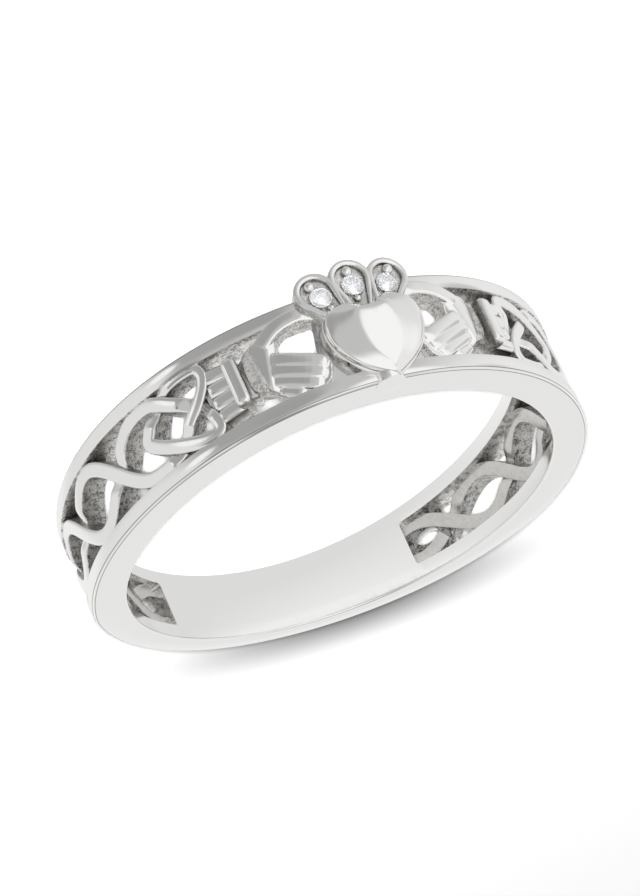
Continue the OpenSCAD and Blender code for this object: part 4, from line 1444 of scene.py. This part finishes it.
class RING_OT_crown(bpy.types.Operator):
    """Builds the crown: three petals with rims, rough floors and beads"""

    bl_idname = "ring.crown"
    bl_label = "Crown"

    # Parts of the tip's arc
    TIP_PARTS = 36
    # How deep a seat's cone goes, as a share of a stone's lower part
    SEAT_DEPTH = 0.97
    # A bead's place: how far its middle stands off the seat, and its lift from the floor, both
    # as shares of its radius, and its height as a share of its width
    BEAD_OFF = 0.8
    BEAD_LIFT = 0.45
    BEAD_FLAT = 0.8
    # The wheel reaches down to this share of a petal's floor, and so much deeper on the beads
    POLISH_DOWN = 0.7
    BEAD_POLISH = 0.3 * MM

    def outline(self, sizes, step_in, flare):
        """A teardrop: the round tip at the middle, the narrower foot above it."""
        tip = sizes.petal_w / 2 - step_in
        foot = sizes.petal_foot_w / 2 - step_in / 2 + flare
        lean = math.asin((tip - foot) / sizes.petal_len)
        points = []
        for k in range(self.TIP_PARTS + 1):
            angle = math.pi - lean + (math.pi + 2 * lean) * k / self.TIP_PARTS
            points.append((tip * math.cos(angle), tip * math.sin(angle)))
        for k in range(self.TIP_PARTS // 2 + 1):
            angle = lean + (math.pi - 2 * lean) * k * 2 / self.TIP_PARTS
            points.append((foot * math.cos(angle), sizes.petal_len + foot * math.sin(angle)))
        return points

    def petal(self, ring, sizes, side):
        """A petal from its back over the rim to the floor and down into the stone's seat."""
        place = petal_place(ring, sizes, side)
        back = self.outline(sizes, 0, BACK_FLARE)
        loops = [[place @ Vector((x, y, -sizes.petal_depth)) for x, y in back]]
        for step, fall, flare in PETAL_RIM:
            outline = self.outline(sizes, step * sizes.petal_rim, flare * MM)
            loops.append([place @ Vector((x, y, -fall * sizes.petal_floor)) for x, y in outline])
        # The stone's seat is a cone under it
        slope = sizes.stone_d / 2 / sizes.pavilion_h
        bottom = sizes.girdle_drop + self.SEAT_DEPTH * sizes.pavilion_h
        for level, gap in ((sizes.petal_floor, 0), (bottom, sizes.seat_gap)):
            reach = slope * (sizes.girdle_drop + sizes.pavilion_h - level) + sizes.seat_gap
            seat = []
            for x, y in outline:
                angle = math.atan2(y - sizes.stone_shift, x)
                seat.append(place @ Vector((reach * math.cos(angle),
                                            sizes.stone_shift + reach * math.sin(angle),
                                            -level - gap)))
            loops.append(seat)
        bm = bmesh.new()
        line = bm.verts.layers.float.new("painted_shade_line")
        rows = loft(bm, loops)
        for loop, dark in PETAL_LINE.items():
            for vert in rows[loop]:
                vert[line] = dark
        return bm

    def beads(self, ring, sizes, side):
        """The two beads that hold a stone, at its outer and at its inner end."""
        bm = bmesh.new()
        place = petal_place(ring, sizes, side)
        seat = sizes.stone_d / 2 + sizes.seat_gap
        flat = Matrix.Diagonal((1, 1, self.BEAD_FLAT, 1))
        for way, radius in ((-1, sizes.bead_outer_r), (1, sizes.bead_inner_r)):
            middle = Vector((0, sizes.stone_shift + way * (seat + radius * self.BEAD_OFF),
                             radius * self.BEAD_LIFT - sizes.petal_floor))
            bmesh.ops.create_uvsphere(bm, u_segments=24, v_segments=14, radius=radius,
                                      matrix=place @ Matrix.Translation(middle) @ flat)
        return bm

    def execute(self, context):
        ring = RingForm(context.scene)
        sizes = context.scene.ring_crown
        looks = context.scene.ring_silver
        metal = silver_material("Petal silver", looks, grain_depth=0.015 * MM)
        bright = silver_material("Bead silver", looks)
        floor_r = ring.outer_r + sizes.petal_rise - self.POLISH_DOWN * sizes.petal_floor
        for name, side in SIDES:
            for part, build, material, deeper in (("petal", self.petal, metal, 0),
                                                  ("beads", self.beads, bright, self.BEAD_POLISH)):
                bm = build(ring, sizes, side)
                bmesh.ops.recalc_face_normals(bm, faces=bm.faces)
                mark_polish(bm, ring, floor_r - deeper)
                finish_piece(bm, f"{part}_{name}", material, ring, sharp=45)
        return {"FINISHED"}


class RING_OT_stones(bpy.types.Operator):
    """Builds the three round stones, each cut with a table, stars, kites and mains"""

    bl_idname = "ring.stones"
    bl_label = "Stones"

    GIRDLE_HALF = 0.015 * MM
    # Where the stars and kites meet above and the mains and halves meet below, as shares of the
    # stone's radius and of the height of its upper or lower part
    KITE = (0.79, 0.62)
    MAIN = (0.24, 0.79)

    def cut(self, sizes):
        """A round brilliant: the hull of its facets' corners."""
        half = sizes.stone_d / 2
        kite_r, kite_h = self.KITE
        main_r, main_h = self.MAIN
        # Columns: corners, radius, height, turn by half a step
        levels = [
            (8, sizes.table_w / 2, sizes.stone_top_h, 0),
            (8, half * kite_r, sizes.stone_top_h * kite_h, 1),
            (16, half, self.GIRDLE_HALF, 0), (16, half, -self.GIRDLE_HALF, 0),
            (8, half * main_r, -sizes.pavilion_h * main_h, 1), (1, 0, -sizes.pavilion_h, 0)]
        bm = bmesh.new()
        for count, radius, height, turned in levels:
            for k in range(count):
                angle = 2 * math.pi * (k + turned / 2) / count
                bmesh.ops.create_vert(
                    bm, co=(radius * math.cos(angle), radius * math.sin(angle), height))
        bmesh.ops.convex_hull(bm, input=bm.verts)
        return bm

    def execute(self, context):
        ring = RingForm(context.scene)
        sizes = context.scene.ring_crown
        material = stone_material(context.scene.ring_silver)
        seat = Matrix.Translation((0, sizes.stone_shift, -sizes.girdle_drop))
        for name, side in SIDES:
            bm = self.cut(sizes)
            place = petal_place(ring, sizes, side)
            bmesh.ops.transform(bm, matrix=place @ seat, verts=bm.verts)
            bmesh.ops.recalc_face_normals(bm, faces=bm.faces)
            stone = finish_piece(bm, f"brilliant_{name}", material, ring, sharp=0, slot="stone")
            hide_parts(f"stone_{name}")
        return {"FINISHED"}


# Stage
class RING_OT_stage(bpy.types.Operator):
    """Sets the floor, the lights and the camera"""

    bl_idname = "ring.stage"
    bl_label = "Stage"

    # The lamp lights the floor from just behind the lens, so that no hard shadow shows
    LAMP_BEHIND = 20 * MM
    LAMP_SIZE = 18 * MM
    LAMP_POWER = 2.25
    EVEN_LIGHT = 0.13
    # Width of the camera's sensor in millimetres
    SENSOR = 36
    # The card under the hole grows darker between these two places along Y
    HOLE_CARD_FADE = (0.5 * MM, 6.5 * MM)
    HOLE_CARD_TONES = (0.93, 0.76)
    # Cards that the metal reflects, each laid over the ones before it. Columns: name, azimuth
    # and elevation in degrees, reach of its full and of its soft edge in degrees, brightness
    CARDS = [
        ("left wall", -95, 10, 35, 75, 0.86), ("rear wall", 180, 8, 45, 75, 0.9),
        ("rear top", -157, 24, 9, 20, 0.84),
        ("right wall", 105, 2, 35, 60, 0.78), ("right floor", 37, -36, 18, 35, 0.38),
        ("front box", -26, 3, 21, 30, 0.98), ("front box top", 0, 36, 20, 33, 0.98),
        ("front flag", 22, -25, 9, 17, 0.36), ("strip", 66, -27, 4, 9, 0.95),
        ("top strip", 70, 48, 7, 14, 0.92), ("top flag", 35, 68, 6, 16, 0.26),
        ("side flag", 58, -3, 5, 13, 0.25),
        ("right flank", -74, -7, 7, 17, 0.58)]
    # Brightness of the room where no card stands
    ROOM = 0.55

    def toward(self, azimuth, elevation):
        """Direction of something seen at that azimuth, from -Y towards +X, and elevation."""
        return Vector((math.sin(azimuth) * math.cos(elevation),
                       -math.cos(azimuth) * math.cos(elevation), math.sin(elevation)))

    def facing(self, place, target, roll=0.0):
        """Matrix of a camera or light at place that looks at target, turned by roll."""
        away = (place - target).normalized()
        right = Vector((0, 0, 1)).cross(away).normalized()
        turned = Matrix((right, away.cross(right), away)).transposed().to_4x4()
        return Matrix.Translation(place) @ turned @ Matrix.Rotation(roll, 4, "Z")

    def room(self):
        """World: even white light on the floor, and a room of soft cards in the metal."""
        world = bpy.data.worlds.new("Studio")
        world.use_nodes = True
        tree = world.node_tree
        even = tree.nodes["Background"]
        set_inputs(even, {"Color": (1, 1, 1, 1), "Strength": self.EVEN_LIGHT})
        way = add_node(tree, "ShaderNodeTexCoord", "Way looked")
        seen = None
        for name, azimuth, elevation, full, soft, bright in self.CARDS:
            middle = self.toward(math.radians(azimuth), math.radians(elevation))
            facing = add_node(tree, "ShaderNodeVectorMath", name, {1: middle},
                              operation="DOT_PRODUCT")
            edge = add_node(
                tree, "ShaderNodeMapRange", name,
                {"From Min": math.cos(math.radians(soft)), "From Max": math.cos(math.radians(full))},
                interpolation_type="SMOOTHSTEP")
            card = add_node(tree, "ShaderNodeMix", name, {"A": self.ROOM, "B": bright},
                            data_type="FLOAT")
            link(tree,
                 (way, "Generated", facing, 0), (facing, "Value", edge, "Value"),
                 (edge, "Result", card, "Factor"))
            if seen:
                link(tree, (seen, "Result", card, "A"))
            seen = card
        cards = add_node(tree, "ShaderNodeBackground", "Cards")
        ray = add_node(tree, "ShaderNodeLightPath", "Kind of ray")
        mirrored = add_node(tree, "ShaderNodeMath", "Seen in metal or stone", operation="MAXIMUM")
        both = add_node(tree, "ShaderNodeMixShader", "Both")
        link(tree,
             (seen, "Result", cards, "Color"), (ray, "Is Glossy Ray", mirrored, 0),
             (ray, "Is Transmission Ray", mirrored, 1), (mirrored, 0, both, "Fac"),
             (even, "Background", both, 1), (cards, "Background", both, 2),
             (both, "Shader", tree.nodes["World Output"], "Surface"))
        return world

    def hole_card(self, ring):
        """White card under the finger hole, seen only in metal and stones, darker to the back."""
        material, tree, shader = new_material(
            "Hole card",
            {"Base Color": (0, 0, 0, 1), "Specular IOR Level": 0, "Emission Strength": 1})
        place = add_node(tree, "ShaderNodeTexCoord", "Place on the card")
        parts = add_node(tree, "ShaderNodeSeparateXYZ", "Forwards")
        front, back = self.HOLE_CARD_FADE
        bright, dark = self.HOLE_CARD_TONES
        shade = add_node(
            tree, "ShaderNodeMapRange", "Darker to the back",
            {"From Min": front, "From Max": back, "To Min": bright, "To Max": dark})
        link(tree,
             (place, "Object", parts, "Vector"), (parts, "Y", shade, "Value"),
             (shade, "Result", shader, "Emission Color"))
        bm = bmesh.new()
        bmesh.ops.create_circle(
            bm, cap_ends=True, segments=96, radius=ring.inner_r,
            matrix=Matrix.Translation((0, 0, CAD_BOX[0].z)))
        card = make_object(bm, "hole_card", material)
        card.visible_camera = False
        card.visible_diffuse = False
        card.visible_shadow = False

    def floor(self, looks):
        """Sheet under the ring, with the ring's shadow painted on it, which the metal doesn't mirror."""
        bm = bmesh.new()
        bmesh.ops.create_grid(bm, x_segments=1, y_segments=1, size=looks.floor_size / 2)
        bmesh.ops.translate(bm, vec=(0, 0, CAD_BOX[0].z), verts=bm.verts)
        floor = make_object(bm, "floor", floor_material(looks))
        floor.visible_glossy = False

    def camera(self, scene, place, target, looks):
        """Long lens at place, looking at target."""
        lens = bpy.data.cameras.new("camera")
        lens.sensor_fit = "HORIZONTAL"
        lens.sensor_width = self.SENSOR
        lens.lens = looks.lens
        lens.clip_start = 1 * MM
        camera = bpy.data.objects.new("camera", lens)
        camera.matrix_world = self.facing(place, target, looks.roll)
        scene.collection.objects.link(camera)
        scene.camera = camera

    def lamp(self, scene, place, target):
        """Small round lamp behind the lens, which the metal doesn't mirror."""
        light = bpy.data.lights.new("lens_lamp", "AREA")
        light.shape = "DISK"
        light.size = self.LAMP_SIZE
        light.energy = self.LAMP_POWER
        lamp = bpy.data.objects.new("lens_lamp", light)
        lamp.visible_glossy = False
        behind = (place - target).normalized() * self.LAMP_BEHIND
        lamp.matrix_world = self.facing(place + behind, target)
        scene.collection.objects.link(lamp)

    def execute(self, context):
        scene = context.scene
        looks = scene.ring_stage
        target = Vector(looks.look_at)
        place = target + self.toward(looks.azimuth, looks.elevation) * looks.distance
        self.floor(looks)
        self.hole_card(RingForm(scene))
        scene.world = self.room()
        self.camera(scene, place, target, looks)
        self.lamp(scene, place, target)
        scene.view_settings.view_transform = "Standard"
        return {"FINISHED"}


class RING_PT_panel(bpy.types.Panel):
    """Lists the ring's pieces in the sidebar"""

    bl_label = "Claddagh ring"
    bl_idname = "RING_PT_panel"
    bl_space_type = "VIEW_3D"
    bl_region_type = "UI"
    bl_category = "Claddagh"

    def draw(self, context):
        for operator in OPERATORS:
            self.layout.operator(operator.bl_idname)
        for name in SETTINGS:
            settings = getattr(context.scene, name)
            box = self.layout.box()
            for key in settings.bl_rna.properties.keys():
                if key not in ("rna_type", "name"):
                    box.prop(settings, key)


OPERATORS = (RING_OT_band, RING_OT_braids, RING_OT_arms, RING_OT_heart, RING_OT_crown,
             RING_OT_stones, RING_OT_stage)
SETTINGS = {
    "ring_band": BandSizes, "ring_braid": BraidSizes, "ring_arms": ArmSizes,
    "ring_heart": HeartSizes, "ring_crown": CrownSizes, "ring_silver": SilverLooks,
    "ring_stage": StageLooks}


def register():
    for settings in SETTINGS.values():
        bpy.utils.register_class(settings)
    for name, settings in SETTINGS.items():
        setattr(bpy.types.Scene, name, bpy.props.PointerProperty(type=settings))
    for operator in OPERATORS:
        bpy.utils.register_class(operator)
    bpy.utils.register_class(RING_PT_panel)


def unregister():
    bpy.utils.unregister_class(RING_PT_panel)
    for operator in reversed(OPERATORS):
        bpy.utils.unregister_class(operator)
    for name in SETTINGS:
        delattr(bpy.types.Scene, name)
    for settings in SETTINGS.values():
        bpy.utils.unregister_class(settings)


def main():
    register()
    bpy.ops.ring.band()
    bpy.ops.ring.braids()
    bpy.ops.ring.arms()
    bpy.ops.ring.heart()
    bpy.ops.ring.crown()
    bpy.ops.ring.stones()
    bpy.ops.ring.stage()


if __name__ == "__main__":
    main()
